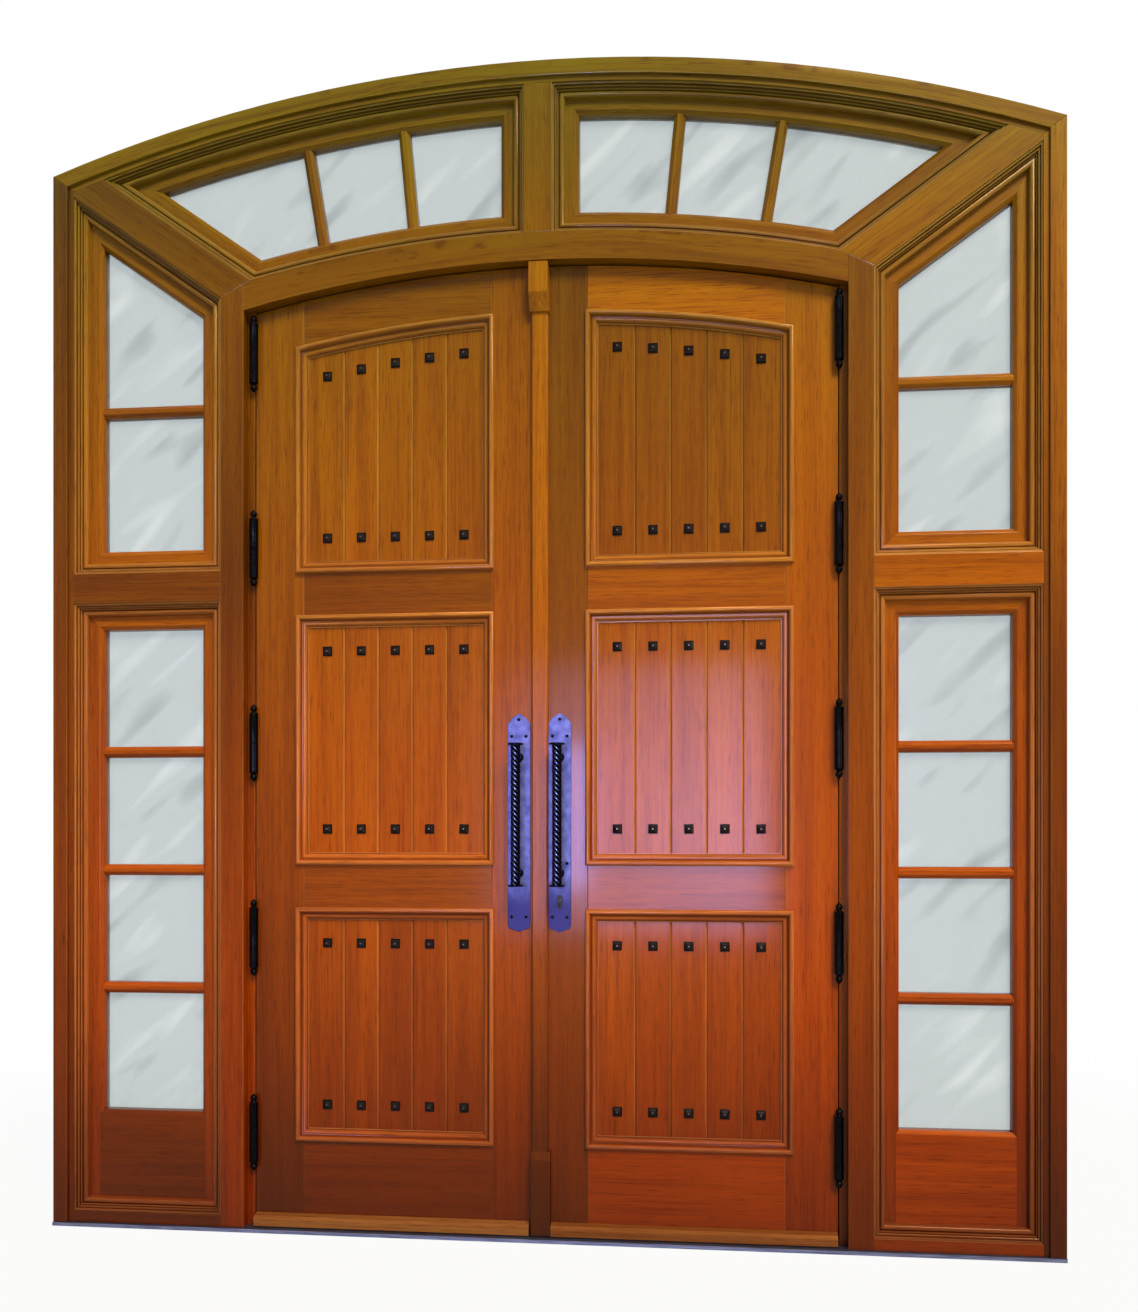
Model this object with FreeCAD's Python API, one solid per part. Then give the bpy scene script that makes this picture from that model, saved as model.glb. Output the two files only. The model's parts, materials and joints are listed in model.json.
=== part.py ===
# A pair of arched mahogany leaves in a frame with sidelights and a transom.
# Millimetres, +Z up. X runs across the opening and the leaves meet at X = 0.
# Depths are measured from the front face of the frame, going back into the wall.
# The origin is the centre of the sill's underside, halfway through the frame's depth.
import FreeCAD, Part
import math
import os

# Frame
sidelightWidth = 432.0  # jamb to post
frameDepth = 140.0
springHeight = 2967.0  # floor to the outer corner where the arched head starts
archRise = 236.0
bandWidth = 42.0  # raised band along the outer edge of jambs and head
bandProud = 8.0
innerFlat = 15.0  # flat between the band and the reveal mouldings
sillThickness = 10.0
sillNose = 12.0  # how far the sill stands out in front

# Doorway
doorwayWidth = 1618.0
crownDrop = 301.0  # spring height down to the underside of the head rail, at the middle
headArcRadius = 3530.0
headRailWidth = 76.0
postWidth = 88.0
postRebate = 21.0  # step back in front of the hinges
stopWidth = 13.0
stopGap = 2.0
diagonalWidth = 88.0
diagonalDrop = 15.5  # inner corner of jamb and head down to the diagonal's lower edge
centrePostWidth = 78.0
crossRailBottom = 1758.0
crossRailWidth = 85.0
baseRailWidth = 32.0
easing = 1.0  # chamfer along the front arrises of every member

# Fixed lights
revealWidth = 33.0
revealDepth = 35.0
revealFront = 4.0
sashMargin = 3.0  # between the sash and the frame around it
sashThickness = 45.0
sightWidth = 69.0  # frame member to the edge of the glass that shows
glassRecess = 25.0  # sash face to glass
glassThickness = 6.0
glassLap = 8.0  # glass hidden in its rebate
glassPlay = 0.5
stickingWidth = 10.0
stickingDepth = 8.0
muntinWidth = 31.0
muntinSetback = 5.0
sideStopWidth = 14.0
sideStopThickness = 20.0
lowerGlassBottom = 320.0
lowerPanes = 4
endPaneExtra = 28.0  # how much taller the top and bottom panes of a lower sidelight are
upperMuntinDrop = 294.5  # top of the post down to the muntin of an upper sidelight
transomPanes = (261.0, 247.0)  # from the centre post outwards, along the head. The last takes the rest

# Leaves
leafRecess = 33.0
leafThickness = 57.0
jambGap = 3.0
headGap = 5.0
floorGap = 4.0
meetingGap = 3.0
meetingBevel = 2.4
hingeStileWidth = 139.0
meetingStileWidth = 131.5
topRailWidth = 144.0
upperRailWidth = 161.0
lowerRailWidth = 163.0
bottomRailWidth = 257.0
middleOpeningHeight = 654.0
bottomOpeningHeight = 609.0
boardRecess = 12.0
boardThickness = 25.0
boardsInPanel = 5
veeDepth = 3.0
outerBoardExtra = 4.0  # how much more the outer boards show inside the moulding
fieldInset = 12.0  # rail to the inner edge of the panel moulding
hingeFieldInset = 11.5
meetingFieldInset = 27.5
mouldingWidth = 34.0
mouldingProud = 12.0
backMouldingWidth = 12.0
backMouldingSetback = 2.0
weatherBarHeight = 33.0
weatherBarDepth = 27.0
weatherBarLift = 3.0
weatherBarNose = 12.0
weatherBarSlope = 7.0
weatherBarLip = 5.0
weatherBarClearance = 7.0  # foot block to the left bar
weatherBarInset = 2.0
dripInset = 6.0
dripWidth = 4.0
dripDepth = 3.0

# Studs
studSize = 27.0
studHeight = 11.0
studSkirt = 2.0
studTip = 2.0
studInset = 66.0  # inner edge of the moulding to the stud's centre
studInsetTop = 60.0

# Astragal
astragalFrom = -20.5
astragalTo = 25.0
astragalThickness = 14.0
astragalBevel = 4.0
blockWidth = 52.0
headBlockFrom = -24.0
headBlockHeight = 126.0
headBlockThickness = 42.0
headBlockGap = 3.0
footBlockFrom = -20.0
footBlockHeight = 227.0
footBlockGap = 1.0  # foot block to the right weather bar
footBlockThickness = 26.0
blockSlope = 22.0
sealGap = 0.5

# Hinges
hingeCount = 5
lowestHinge = 258.0  # foot of the leaf to the middle of the lowest hinge
highestHinge = 115.5  # top of the leaf at its hinge edge down to the highest hinge
hingeHeight = 160.0
knuckleRadius = 12.0
knuckleGap = 1.0  # knuckle to the face of the leaf
pinRadius = 6.0
pinCover = 20.0  # top of the barrel down to the end of the pin
runningClearance = 0.05
washerRadius = 11.0
washerThickness = 2.0
hingePlateDepth = 58.0
hingePlateThickness = 2.5
hingeWebStart = 7.0

# Pull handles
plateWidth = 62.0
plateGap = 0.5  # astragal to plate
plateBelowKeyhole = 83.0
plateHeight = 600.0
plateThickness = 4.0
plateTopPoint = 28.0
plateTopSwell = 2.5  # how far the slopes of the top point bulge
plateBottomPoint = 20.0
plateBottomShoulder = 4.0
plateNib = 10.0  # half width of the small point at the foot
barRadius = 13.5
ropeStrands = 8
ropeLay = 92.0  # length of one full turn of the strands
ropeHollow = 1.8  # depth of the hollows between strands
ropeCrest = 0.18  # half the crest of a strand, as a share of the strand
ropeSections = 16  # cross sections in one full turn
barStandoff = 54.0  # face of the plate to the axis of the bar
barAbovePlateBottom = 127.0
barBelowPlateTop = 85.0
barFlangeRadius = 21.5
barFlangeThickness = 6.0
standoffRadius = 8.0
standoffInset = 36.0
standoffFootRadius = 13.0
standoffFootThickness = 4.0
screwHeadRadius = 4.5
screwHeadHeight = 2.5
screwShankRadius = 2.2
screwShankGap = 0.1
screwEdge = 11.0  # edge of the plate to a screw

# Deadlock
lockHeight = 921.0
lockCaseHeight = 150.0
lockCaseDepth = 86.0
lockCaseThickness = 20.0
lockWall = 2.0
forendThickness = 3.0
forendWidth = 24.0
forendHeight = 210.0
forendSetback = 5.0  # meeting line to forend and strike, clear of the bevelled edge
boltLift = 40.0  # keyhole to the middle of the bolt
boltHeight = 28.0
boltThickness = 12.0
boltLength = 58.0
boltSetback = 0.5
boltPocketDepth = 21.0
boltClearance = 0.3
boltPocketClearance = 1.0
strikeHeight = 120.0
keyholeRadius = 4.5
keySlotWidth = 4.0
keySlotLength = 18.0
escutcheonRadius = 8.0
escutcheonHeight = 40.0
escutcheonThickness = 1.5

# Flush bolts
rodRadius = 5.0
rodLength = 300.0
rodBoreClearance = 0.5
rodInset = 21.0  # meeting line to the axis of the rods
rodSetback = 1.0
topRodThrow = 16.0
bottomRodThrow = 10.0
rodSocketDepth = 22.0
flushCaseHeight = 150.0
flushCaseWidth = 22.0
flushCaseDepth = 26.0
flushCaseTail = 20.0
flushCaseWall = 10.0
knobRadius = 3.5
knobInset = 45.0  # inner end of the rod to its knob
knobSetback = 2.0
knobClearance = 0.5

# Fixings through the jambs
fixingRadius = 5.0
fixingInset = 20.0  # back of the frame to the fixings
fixingCount = 4
lowestFixing = 300.0
highestFixing = 267.0  # spring height down to the highest fixing

# Derived sizes
halfDoorway = doorwayWidth / 2
jambThickness = bandWidth + innerFlat
postOuter = halfDoorway + postWidth
jambInner = postOuter + sidelightWidth
halfFrame = jambInner + jambThickness
postFace = halfDoorway + postRebate
archRadius = (halfFrame ** 2 + archRise ** 2) / (2 * archRise)
archCentre = springHeight + archRise - archRadius
headCentre = springHeight - crownDrop - headArcRadius
leafTopRadius = headArcRadius - headGap
leafBack = leafRecess + leafThickness
leafMiddle = leafRecess + leafThickness / 2
stopDepth = leafBack + stopGap
leafInner = meetingGap / 2
leafOuter = halfDoorway - jambGap
leafBottom = sillThickness + floorGap
hingeStileEdge = leafOuter - hingeStileWidth
meetingStileEdge = leafInner + meetingStileWidth
boardFront = leafRecess + boardRecess
boardBack = boardFront + boardThickness
backMouldingBack = leafBack - backMouldingSetback
fieldLeft = meetingStileEdge + meetingFieldInset
fieldRight = hingeStileEdge - hingeFieldInset
boardCentre = (fieldLeft + fieldRight) / 2
boardPitch = (fieldRight - fieldLeft - 2 * outerBoardExtra) / boardsInPanel
bottomOpening = leafBottom + bottomRailWidth
lowerRailBottom = bottomOpening + bottomOpeningHeight
middleOpening = lowerRailBottom + lowerRailWidth
upperRailBottom = middleOpening + middleOpeningHeight
topOpening = upperRailBottom + upperRailWidth
crossRailTop = crossRailBottom + crossRailWidth
baseRailTop = sillThickness + baseRailWidth
sashBack = revealDepth + sashThickness
glassFront = revealDepth + glassRecess
glassBack = glassFront + glassThickness
rebateWidth = sightWidth - glassLap
muntinWeb = muntinWidth / 2 - glassLap
hingeX = halfDoorway - jambGap / 2
hingeDepth = leafRecess - knuckleGap - knuckleRadius
footBlockTop = leafBottom + footBlockHeight
plateFace = leafRecess - plateThickness
plateNear = astragalTo + plateGap
plateCentre = plateNear + plateWidth / 2
plateBottom = lockHeight - plateBelowKeyhole
plateTop = plateBottom + plateHeight
barBottom = plateBottom + barAbovePlateBottom
barTop = plateTop - barBelowPlateTop
barDepth = plateFace - barStandoff
boltBottom = lockHeight + boltLift - boltHeight / 2
boltTop = boltBottom + boltHeight
boltTip = forendSetback + boltSetback

# Profiles are (inset, depth) pairs, with the inset measured in from the outline they run along.
revealProfile = [
    (0, revealFront),
    (5, revealFront),
    (5, 10),
    (11, 10),
    (11, 17),
    (15, 17),
    (17, 23),
    (19, 19),
    (23, 17.5),
    (28, 19),
    (31, 24),
    (revealWidth, 31),
    (revealWidth, revealDepth),
    (0, revealDepth),
]
sashProfile = [
    (sashMargin, revealDepth),
    (sightWidth - stickingWidth, revealDepth),
    (sightWidth, revealDepth + stickingDepth),
    (sightWidth, glassFront),
    (rebateWidth, glassFront),
    (rebateWidth, sashBack),
    (sashMargin, sashBack),
]
muntinHalf = [
    (muntinWidth / 2 - stickingWidth, revealDepth + muntinSetback),
    (muntinWidth / 2, revealDepth + muntinSetback + stickingDepth),
    (muntinWidth / 2, glassFront),
    (muntinWeb, glassFront),
    (muntinWeb, sashBack),
]
muntinProfile = muntinHalf + [(-inset, depth) for inset, depth in reversed(muntinHalf)]
glazingBeadProfile = [
    (0, glassBack),
    (glassLap, glassBack),
    (glassLap, sashBack - 6),
    (3, sashBack),
    (0, sashBack),
]
sideStopProfile = [
    (0, sashBack),
    (sideStopWidth, sashBack),
    (sideStopWidth, sashBack + sideStopThickness),
    (0, sashBack + sideStopThickness),
]
panelMouldingProfile = [
    (0, boardFront),
    (0, leafRecess - mouldingProud / 2),
    (5, leafRecess - mouldingProud),
    (15, leafRecess - mouldingProud),
    (22, leafRecess - mouldingProud / 2),
    (mouldingWidth, boardFront - 5),
    (mouldingWidth, boardFront),
]
backMouldingProfile = [
    (0, boardBack),
    (backMouldingWidth, boardBack),
    (backMouldingWidth, (boardBack + backMouldingBack) / 2),
    (backMouldingWidth / 3, backMouldingBack),
    (0, backMouldingBack),
]

# Turned end of a hinge barrel: (radius, distance from the knuckle).
finialProfile = [(0, 0), (12, 0), (12, 3), (7, 6), (6, 8), (9, 13), (9, 18), (5.5, 25), (0, 28)]


sideways = FreeCAD.Vector(1, 0, 0)


def vector(x, depth, z):
    return FreeCAD.Vector(x, depth - frameDepth / 2, z)


class Straight:
    # A straight side of an outline through (x, z), with (nx, nz) pointing into the outline.
    def __init__(self, x, z, nx, nz):
        self.x = x
        self.z = z
        self.nx = nx
        self.nz = nz

    def inset(self, distance):
        return Straight(self.x + self.nx * distance, self.z + self.nz * distance, self.nx, self.nz)

    def turned(self):
        return Straight(self.x, self.z, -self.nx, -self.nz)


class Curve:
    # A side that is an arc about (0, centre). The outline is outside it if rise is 1, inside if -1.
    def __init__(self, centre, radius, rise):
        self.centre = centre
        self.radius = radius
        self.rise = rise

    def inset(self, distance):
        return Curve(self.centre, self.radius + self.rise * distance, self.rise)

    def height(self, x):
        return self.centre + math.sqrt(self.radius ** 2 - x ** 2)


def level(height, rise=1):
    return Straight(0, height, 0, rise)


def upright(x, way=1):
    return Straight(x, 0, way, 0)


def meet(a, b):
    # Where two sides cross. A line crosses an arc twice, and the higher point is the one used.
    if isinstance(a, Curve):
        a, b = b, a
    if isinstance(b, Straight):
        across = a.nx * b.nz - a.nz * b.nx
        reachA = a.nx * a.x + a.nz * a.z
        reachB = b.nx * b.x + b.nz * b.z
        return ((reachA * b.nz - reachB * a.nz) / across, (a.nx * reachB - b.nx * reachA) / across)
    foot = a.nx * a.x + a.nz * (a.z - b.centre)
    half = math.sqrt(b.radius ** 2 - foot ** 2)
    points = []
    for way in (-1, 1):
        points.append((foot * a.nx - way * half * a.nz, b.centre + foot * a.nz + way * half * a.nx))
    return max(points, key=lambda point: point[1])


def corners(sides, distance):
    # Corner i is where side i starts, going anticlockwise seen from the front.
    moved = [side.inset(distance) for side in sides]
    return [meet(moved[i - 1], moved[i]) for i in range(len(sides))]


def slab(sides, distance, front, back):
    # A flat piece of any outline, from depth front to depth back.
    points = corners(sides, distance)
    edges = []
    for i, side in enumerate(sides):
        start = points[i]
        end = points[(i + 1) % len(sides)]
        first = vector(start[0], front, start[1])
        last = vector(end[0], front, end[1])
        if isinstance(side, Curve):
            x = (start[0] + end[0]) / 2
            middle = vector(x, front, side.inset(distance).height(x))
            edges.append(Part.Arc(first, middle, last).toShape())
        else:
            edges.append(Part.LineSegment(first, last).toShape())
    return Part.Face(Part.Wire(edges)).extrude(FreeCAD.Vector(0, back - front, 0))


def between(x0, x1, low, high, front, back):
    # A member between two upright edges. low and high are heights or curves.
    bottom = low if isinstance(low, Curve) else level(low)
    top = high if isinstance(high, Curve) else level(high)
    return slab([bottom, upright(x1), top, upright(x0)], 0, front, back)


def prism(points, front, back):
    # A polygon seen from the front, given as (x, z).
    loop = [vector(x, front, z) for x, z in points]
    face = Part.Face(Part.makePolygon(loop + loop[:1]))
    return face.extrude(FreeCAD.Vector(0, back - front, 0))


def planPrism(points, low, high):
    # A polygon seen from above, given as (x, depth).
    loop = [vector(x, depth, low) for x, depth in points]
    face = Part.Face(Part.makePolygon(loop + loop[:1]))
    return face.extrude(FreeCAD.Vector(0, 0, high - low))


def sidePrism(points, x0, x1):
    # A polygon seen from the side, given as (depth, z).
    loop = [vector(x0, depth, z) for depth, z in points]
    face = Part.Face(Part.makePolygon(loop + loop[:1]))
    return face.extrude(FreeCAD.Vector(x1 - x0, 0, 0))


def block(x0, x1, front, back, low, high):
    return planPrism([(x0, front), (x1, front), (x1, back), (x0, back)], low, high)


def rod(x, depth, low, high, radius):
    return Part.makeCylinder(radius, high - low, vector(x, depth, low))


def turned(x, depth, points):
    # A turned piece about an upright axis, given as (radius, height).
    loop = [vector(x + radius, depth, z) for radius, z in points]
    face = Part.Face(Part.makePolygon(loop + loop[:1]))
    return face.revolve(vector(x, depth, 0), FreeCAD.Vector(0, 0, 1), 360)


def disc(x, z, front, back, radius):
    return Part.makeCylinder(radius, back - front, vector(x, front, z), FreeCAD.Vector(0, 1, 0))


def fuse(shapes):
    return shapes[0].multiFuse(shapes[1:]).removeSplitter()


def eased(shape, depth):
    # Chamfers every arris that lies in the face at this depth.
    y = depth - frameDepth / 2
    edges = [edge for edge in shape.Edges if all(abs(v.Y - y) < 0.001 for v in edge.Vertexes)]
    return shape.makeChamfer(easing, edges)


def trim(shape, start, end, reach=600.0):
    # Cuts away all that lies to the left of the line from start to end, seen from the front.
    length = math.hypot(end[0] - start[0], end[1] - start[1])
    ux = (end[0] - start[0]) / length * reach
    uz = (end[1] - start[1]) / length * reach
    near = (start[0] - ux, start[1] - uz)
    far = (end[0] + ux, end[1] + uz)
    waste = [near, far, (far[0] - uz, far[1] + ux), (near[0] - uz, near[1] + ux)]
    return shape.cut(prism(waste, -frameDepth, 2 * frameDepth))


def run(side, start, end, profile, margin=80.0):
    # A length of moulding along one side, running past both ends by margin.
    if isinstance(side, Straight):
        ux = side.nz
        uz = -side.nx
        loop = []
        for inset, depth in profile:
            x = start[0] - ux * margin + side.nx * inset
            z = start[1] - uz * margin + side.nz * inset
            loop.append(vector(x, depth, z))
        length = math.hypot(end[0] - start[0], end[1] - start[1]) + 2 * margin
        face = Part.Face(Part.makePolygon(loop + loop[:1]))
        return face.extrude(FreeCAD.Vector(ux * length, 0, uz * length))
    angles = sorted(math.atan2(z - side.centre, x) for x, z in (start, end))
    first = angles[0] - margin / side.radius
    sweep = angles[1] + margin / side.radius - first
    loop = []
    for inset, depth in profile:
        radius = side.radius + side.rise * inset
        loop.append(vector(radius * math.cos(first), depth, side.centre + radius * math.sin(first)))
    face = Part.Face(Part.makePolygon(loop + loop[:1]))
    return face.revolve(FreeCAD.Vector(0, 0, side.centre), FreeCAD.Vector(0, -1, 0), math.degrees(sweep))


def ring(sides, profile):
    # Mitred lengths of one profile around an outline, one solid a side.
    insets = [inset for inset, depth in profile]
    outer = corners(sides, min(insets))
    inner = corners(sides, max(insets))
    starts = corners(sides, 0)
    pieces = []
    for i, side in enumerate(sides):
        after = (i + 1) % len(sides)
        piece = run(side, starts[i], starts[after], profile)
        piece = trim(piece, outer[i], inner[i])
        pieces.append(trim(piece, inner[after], outer[after]))
    return pieces


def mirrored(shapes):
    return [shape.mirror(FreeCAD.Vector(0, 0, 0), FreeCAD.Vector(1, 0, 0)) for shape in shapes]


def write(name, shapes):
    solids = []
    for shape in shapes:
        solids.extend(shape.Solids)
    Part.makeCompound(solids).exportStep("parts/" + name + ".step")


# Lines that several members share
archOuter = Curve(archCentre, archRadius, -1)
archInner = archOuter.inset(jambThickness)
doorwayArc = Curve(headCentre, headArcRadius, -1)
headRailTop = Curve(headCentre, headArcRadius + headRailWidth, 1)
leafTop = Curve(headCentre, leafTopRadius, -1)
panelArc = leafTop.inset(topRailWidth)
shoulder = meet(upright(halfDoorway), headRailTop)  # where head rail, post and diagonal meet
springInner = meet(upright(jambInner), archInner)
springOuter = (halfFrame, springHeight)
acrossLight = jambInner - shoulder[0]
upLight = springInner[1] - diagonalDrop - shoulder[1]
slope = math.atan2(upLight, acrossLight) + math.asin(diagonalWidth / math.hypot(upLight, acrossLight))
diagonalUpper = Straight(shoulder[0], shoulder[1], -math.sin(slope), math.cos(slope))
diagonalLower = diagonalUpper.inset(-diagonalWidth).turned()
postTop = meet(upright(postOuter), diagonalLower)
leafLength = leafTop.height(leafOuter) - leafBottom
hingeHeights = []
for i in range(hingeCount):
    rise = (leafLength - lowestHinge - highestHinge) * i / (hingeCount - 1)
    hingeHeights.append(leafBottom + lowestHinge + rise)
fixingHeights = []
for i in range(fixingCount):
    rise = (springHeight - lowestFixing - highestFixing) * i / (fixingCount - 1)
    fixingHeights.append(lowestFixing + rise)

# Outlines of the right-hand openings and panels, each as bottom, right, top and left sides
upperLight = [level(crossRailTop), upright(jambInner, -1), diagonalLower, upright(postOuter)]
lowerLight = [level(baseRailTop), upright(jambInner, -1), level(crossRailBottom, -1), upright(postOuter)]
transomLight = [headRailTop, diagonalUpper, archInner, upright(centrePostWidth / 2)]
openingTops = [level(lowerRailBottom, -1), level(upperRailBottom, -1), panelArc]
openings = []
fields = []
for low, top in zip((bottomOpening, middleOpening, topOpening), openingTops):
    openings.append([level(low), upright(hingeStileEdge, -1), top, upright(meetingStileEdge)])
    foot = level(low).inset(fieldInset)
    head = top.inset(fieldInset)
    fields.append([foot, upright(fieldRight, -1), head, upright(fieldLeft)])


def makeJamb():
    top = springHeight + archRise
    flat = block(jambInner, halfFrame, 0, frameDepth, sillThickness, top)
    band = block(halfFrame - bandWidth, halfFrame, -bandProud, 0, sillThickness, top)
    jamb = eased(trim(fuse([flat, band]), springInner, springOuter, top), -bandProud)
    for z in fixingHeights:
        start = vector(jambInner - 1, frameDepth - fixingInset, z)
        jamb = jamb.cut(Part.makeCylinder(fixingRadius, jambThickness + 2, start, sideways))
    return jamb


def makeArchHead():
    # Flat and raised band in one curved member, mitred to the jambs at both ends.
    lowest = springHeight - 2 * jambThickness
    layers = []
    for width, front, back in ((jambThickness, 0, frameDepth), (bandWidth, -bandProud, 0)):
        outside = between(-halfFrame, halfFrame, lowest, archOuter, front, back)
        inside = between(-halfFrame - 1, halfFrame + 1, lowest - 1, archOuter.inset(width), front, back)
        layers.append(outside.cut(inside))
    head = trim(fuse(layers), springOuter, springInner)
    head = trim(head, (-springInner[0], springInner[1]), (-springOuter[0], springOuter[1]))
    return eased(head, -bandProud)


def makePost():
    # Three layers: the face, the rebate that the hinges are let into, and the stop behind the leaf.
    tall = shoulder[1] + postWidth
    face = block(postFace, postOuter, 0, leafRecess, sillThickness, tall)
    rebate = block(halfDoorway, postOuter, leafRecess, stopDepth, sillThickness, tall)
    stop = block(halfDoorway - stopWidth, postOuter, stopDepth, frameDepth, sillThickness, tall)
    stopTop = doorwayArc.height(halfDoorway) - stopWidth
    stop = stop.cut(block(0, halfDoorway, stopDepth, frameDepth, stopTop, tall))
    post = eased(trim(fuse([face, rebate, stop]), shoulder, postTop), 0)
    for z in hingeHeights:
        post = post.cut(hingePlate(halfDoorway, halfDoorway + hingePlateThickness, z))
    return post


def makeDiagonal(head, post):
    whole = slab([diagonalLower, upright(jambInner), diagonalUpper, upright(halfDoorway)], 0, 0, frameDepth)
    whole = trim(whole, postTop, shoulder)
    whole = whole.common(between(0, jambInner, 0, archInner, 0, frameDepth))
    return eased(whole, 0)


def makeHeadRail(members):
    # The back of the rail hangs lower, as the stop behind the leaves.
    front = between(-postFace, postFace, doorwayArc, headRailTop, 0, stopDepth)
    stopArc = doorwayArc.inset(stopWidth)
    back = between(-halfDoorway, halfDoorway, stopArc, headRailTop, stopDepth, frameDepth)
    rail = fuse([front, back])
    for member in members:
        rail = rail.cut(member)
    crown = doorwayArc.height(rodInset)
    bore = rodRadius + rodBoreClearance
    return rail.cut(rod(-rodInset, leafMiddle, crown - headRailWidth, crown + rodSocketDepth, bore))


def makeSill():
    sill = block(-halfFrame, halfFrame, -sillNose, frameDepth, 0, sillThickness)
    return sill.cut(rod(-rodInset, leafMiddle, -1, sillThickness + 1, rodRadius + rodBoreClearance))


def cells(sides, bars, first, edge, half):
    # Outline of each pane. The bars divide the light from side number first to the side opposite.
    moved = [side.inset(edge) for side in sides]
    starts = [moved[first]] + [bar.inset(half) for bar in bars]
    ends = [bar.turned().inset(half) for bar in bars] + [moved[(first + 2) % 4]]
    outlines = []
    for start, end in zip(starts, ends):
        cell = list(moved)
        cell[first] = start
        cell[(first + 2) % 4] = end
        outlines.append(cell)
    return outlines


def makeLight(sides, bars, first, sash):
    # Muntins scribed to the sash, then the glass and its beads.
    far = sides[(first + 1) % 4].inset(sightWidth / 2)
    near = sides[(first + 3) % 4].inset(sightWidth / 2)
    muntins = []
    for bar in bars:
        start = meet(bar, near)
        end = meet(bar, far)
        if (end[0] - start[0]) * bar.nz - (end[1] - start[1]) * bar.nx < 0:
            start, end = end, start
        muntin = run(bar, start, end, muntinProfile, 0)
        for member in sash:
            muntin = muntin.cut(member)
        muntins.append(muntin)
    panes = []
    for cell in cells(sides, bars, first, rebateWidth + glassPlay, muntinWeb + glassPlay):
        panes.append(slab(cell, 0, glassFront, glassBack))
    beads = []
    for cell in cells(sides, bars, first, rebateWidth, muntinWeb):
        beads.extend(ring(cell, glazingBeadProfile))
    return muntins, panes, beads


def makeBottomPanel(stiles):
    # Solid panel under the lower sidelight, shaped along the top like the sash and scribed to its stiles.
    low = baseRailTop + sashMargin
    profile = [
        (revealDepth, low),
        (revealDepth, lowerGlassBottom - stickingWidth),
        (revealDepth + stickingDepth, lowerGlassBottom),
        (glassFront, lowerGlassBottom),
        (glassFront, lowerGlassBottom - glassLap),
        (sashBack, lowerGlassBottom - glassLap),
        (sashBack, low),
    ]
    edge = sightWidth - stickingWidth
    panel = sidePrism(profile, postOuter + edge, jambInner - edge)
    for stile in stiles:
        panel = panel.cut(stile)
    return panel


def makeMembers():
    # Stiles and rails of a right-hand leaf, before any joinery: hinge stile, meeting stile and four rails.
    stiles = [
        between(hingeStileEdge, leafOuter, leafBottom, leafTop, leafRecess, leafBack),
        between(leafInner, meetingStileEdge, leafBottom, leafTop, leafRecess, leafBack),
    ]
    heights = [
        (leafBottom, bottomOpening),
        (lowerRailBottom, middleOpening),
        (upperRailBottom, topOpening),
        (panelArc, leafTop),
    ]
    rails = []
    for low, high in heights:
        rails.append(between(meetingStileEdge, hingeStileEdge, low, high, leafRecess, leafBack))
    return stiles, rails


def makeHingeStile(plain):
    stile = eased(plain, leafRecess)
    for z in hingeHeights:
        stile = stile.cut(hingePlate(leafOuter - hingePlateThickness, leafOuter, z))
    return stile


def makeMeetingStile(plain, pockets):
    stile = eased(plain, leafRecess)
    bevel = [
        (leafInner, leafRecess),
        (leafInner + meetingBevel, leafBack),
        (leafInner, leafBack + 1),
        (leafInner - 1, leafBack + 1),
        (leafInner - 1, leafRecess),
    ]
    stile = stile.cut(planPrism(bevel, 0, springHeight))
    for pocket in pockets:
        stile = stile.cut(pocket)
    return stile


def makeBoards(opening):
    # Boards with a vee at every joint, from edge to edge of the opening.
    edges = [meetingStileEdge]
    for i in range(1, boardsInPanel):
        edges.append(boardCentre + (i - boardsInPanel / 2) * boardPitch)
    edges.append(hingeStileEdge)
    whole = slab(opening, 0, boardFront, boardBack)
    boards = []
    for i in range(boardsInPanel):
        leftVee = veeDepth if i > 0 else 0
        rightVee = veeDepth if i < boardsInPanel - 1 else 0
        plan = [(edges[i] + leftVee, boardFront), (edges[i + 1] - rightVee, boardFront)]
        if rightVee:
            plan.append((edges[i + 1], boardFront + veeDepth))
        plan += [(edges[i + 1], boardBack), (edges[i], boardBack)]
        if leftVee:
            plan.append((edges[i], boardFront + veeDepth))
        boards.append(planPrism(plan, leafBottom, springHeight).common(whole))
    return boards


def makePanelMouldings(members):
    # Front mouldings lap over the edges of stiles and rails. Back mouldings stand inside the opening.
    joined = Part.makeCompound(members)
    pieces = []
    for field, opening in zip(fields, openings):
        outline = [side.inset(-mouldingWidth) for side in field]
        for piece in ring(outline, panelMouldingProfile):
            pieces.append(piece.cut(joined))
        pieces.extend(ring(opening, backMouldingProfile))
    return pieces


def makeStud(x, z):
    # A four-sided pointed head on a square skirt.
    half = studSize / 2
    tip = studTip / 2
    rise = studHeight - studSkirt
    head = Part.makeWedge(-tip, 0, -tip, -half, -half, tip, rise, tip, half, half)
    head.translate(vector(x, boardFront - studHeight, z))
    skirt = block(x - half, x + half, boardFront - studSkirt, boardFront, z - half, z + half)
    return fuse([head, skirt])


def makeStuds():
    studs = []
    for bottom, right, top, left in fields:
        for i in range(boardsInPanel):
            x = boardCentre + (i - (boardsInPanel - 1) / 2) * boardPitch
            high = top.inset(studInsetTop).height(x) if isinstance(top, Curve) else top.z - studInset
            studs.append(makeStud(x, bottom.z + studInset))
            studs.append(makeStud(x, high))
    return studs


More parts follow.
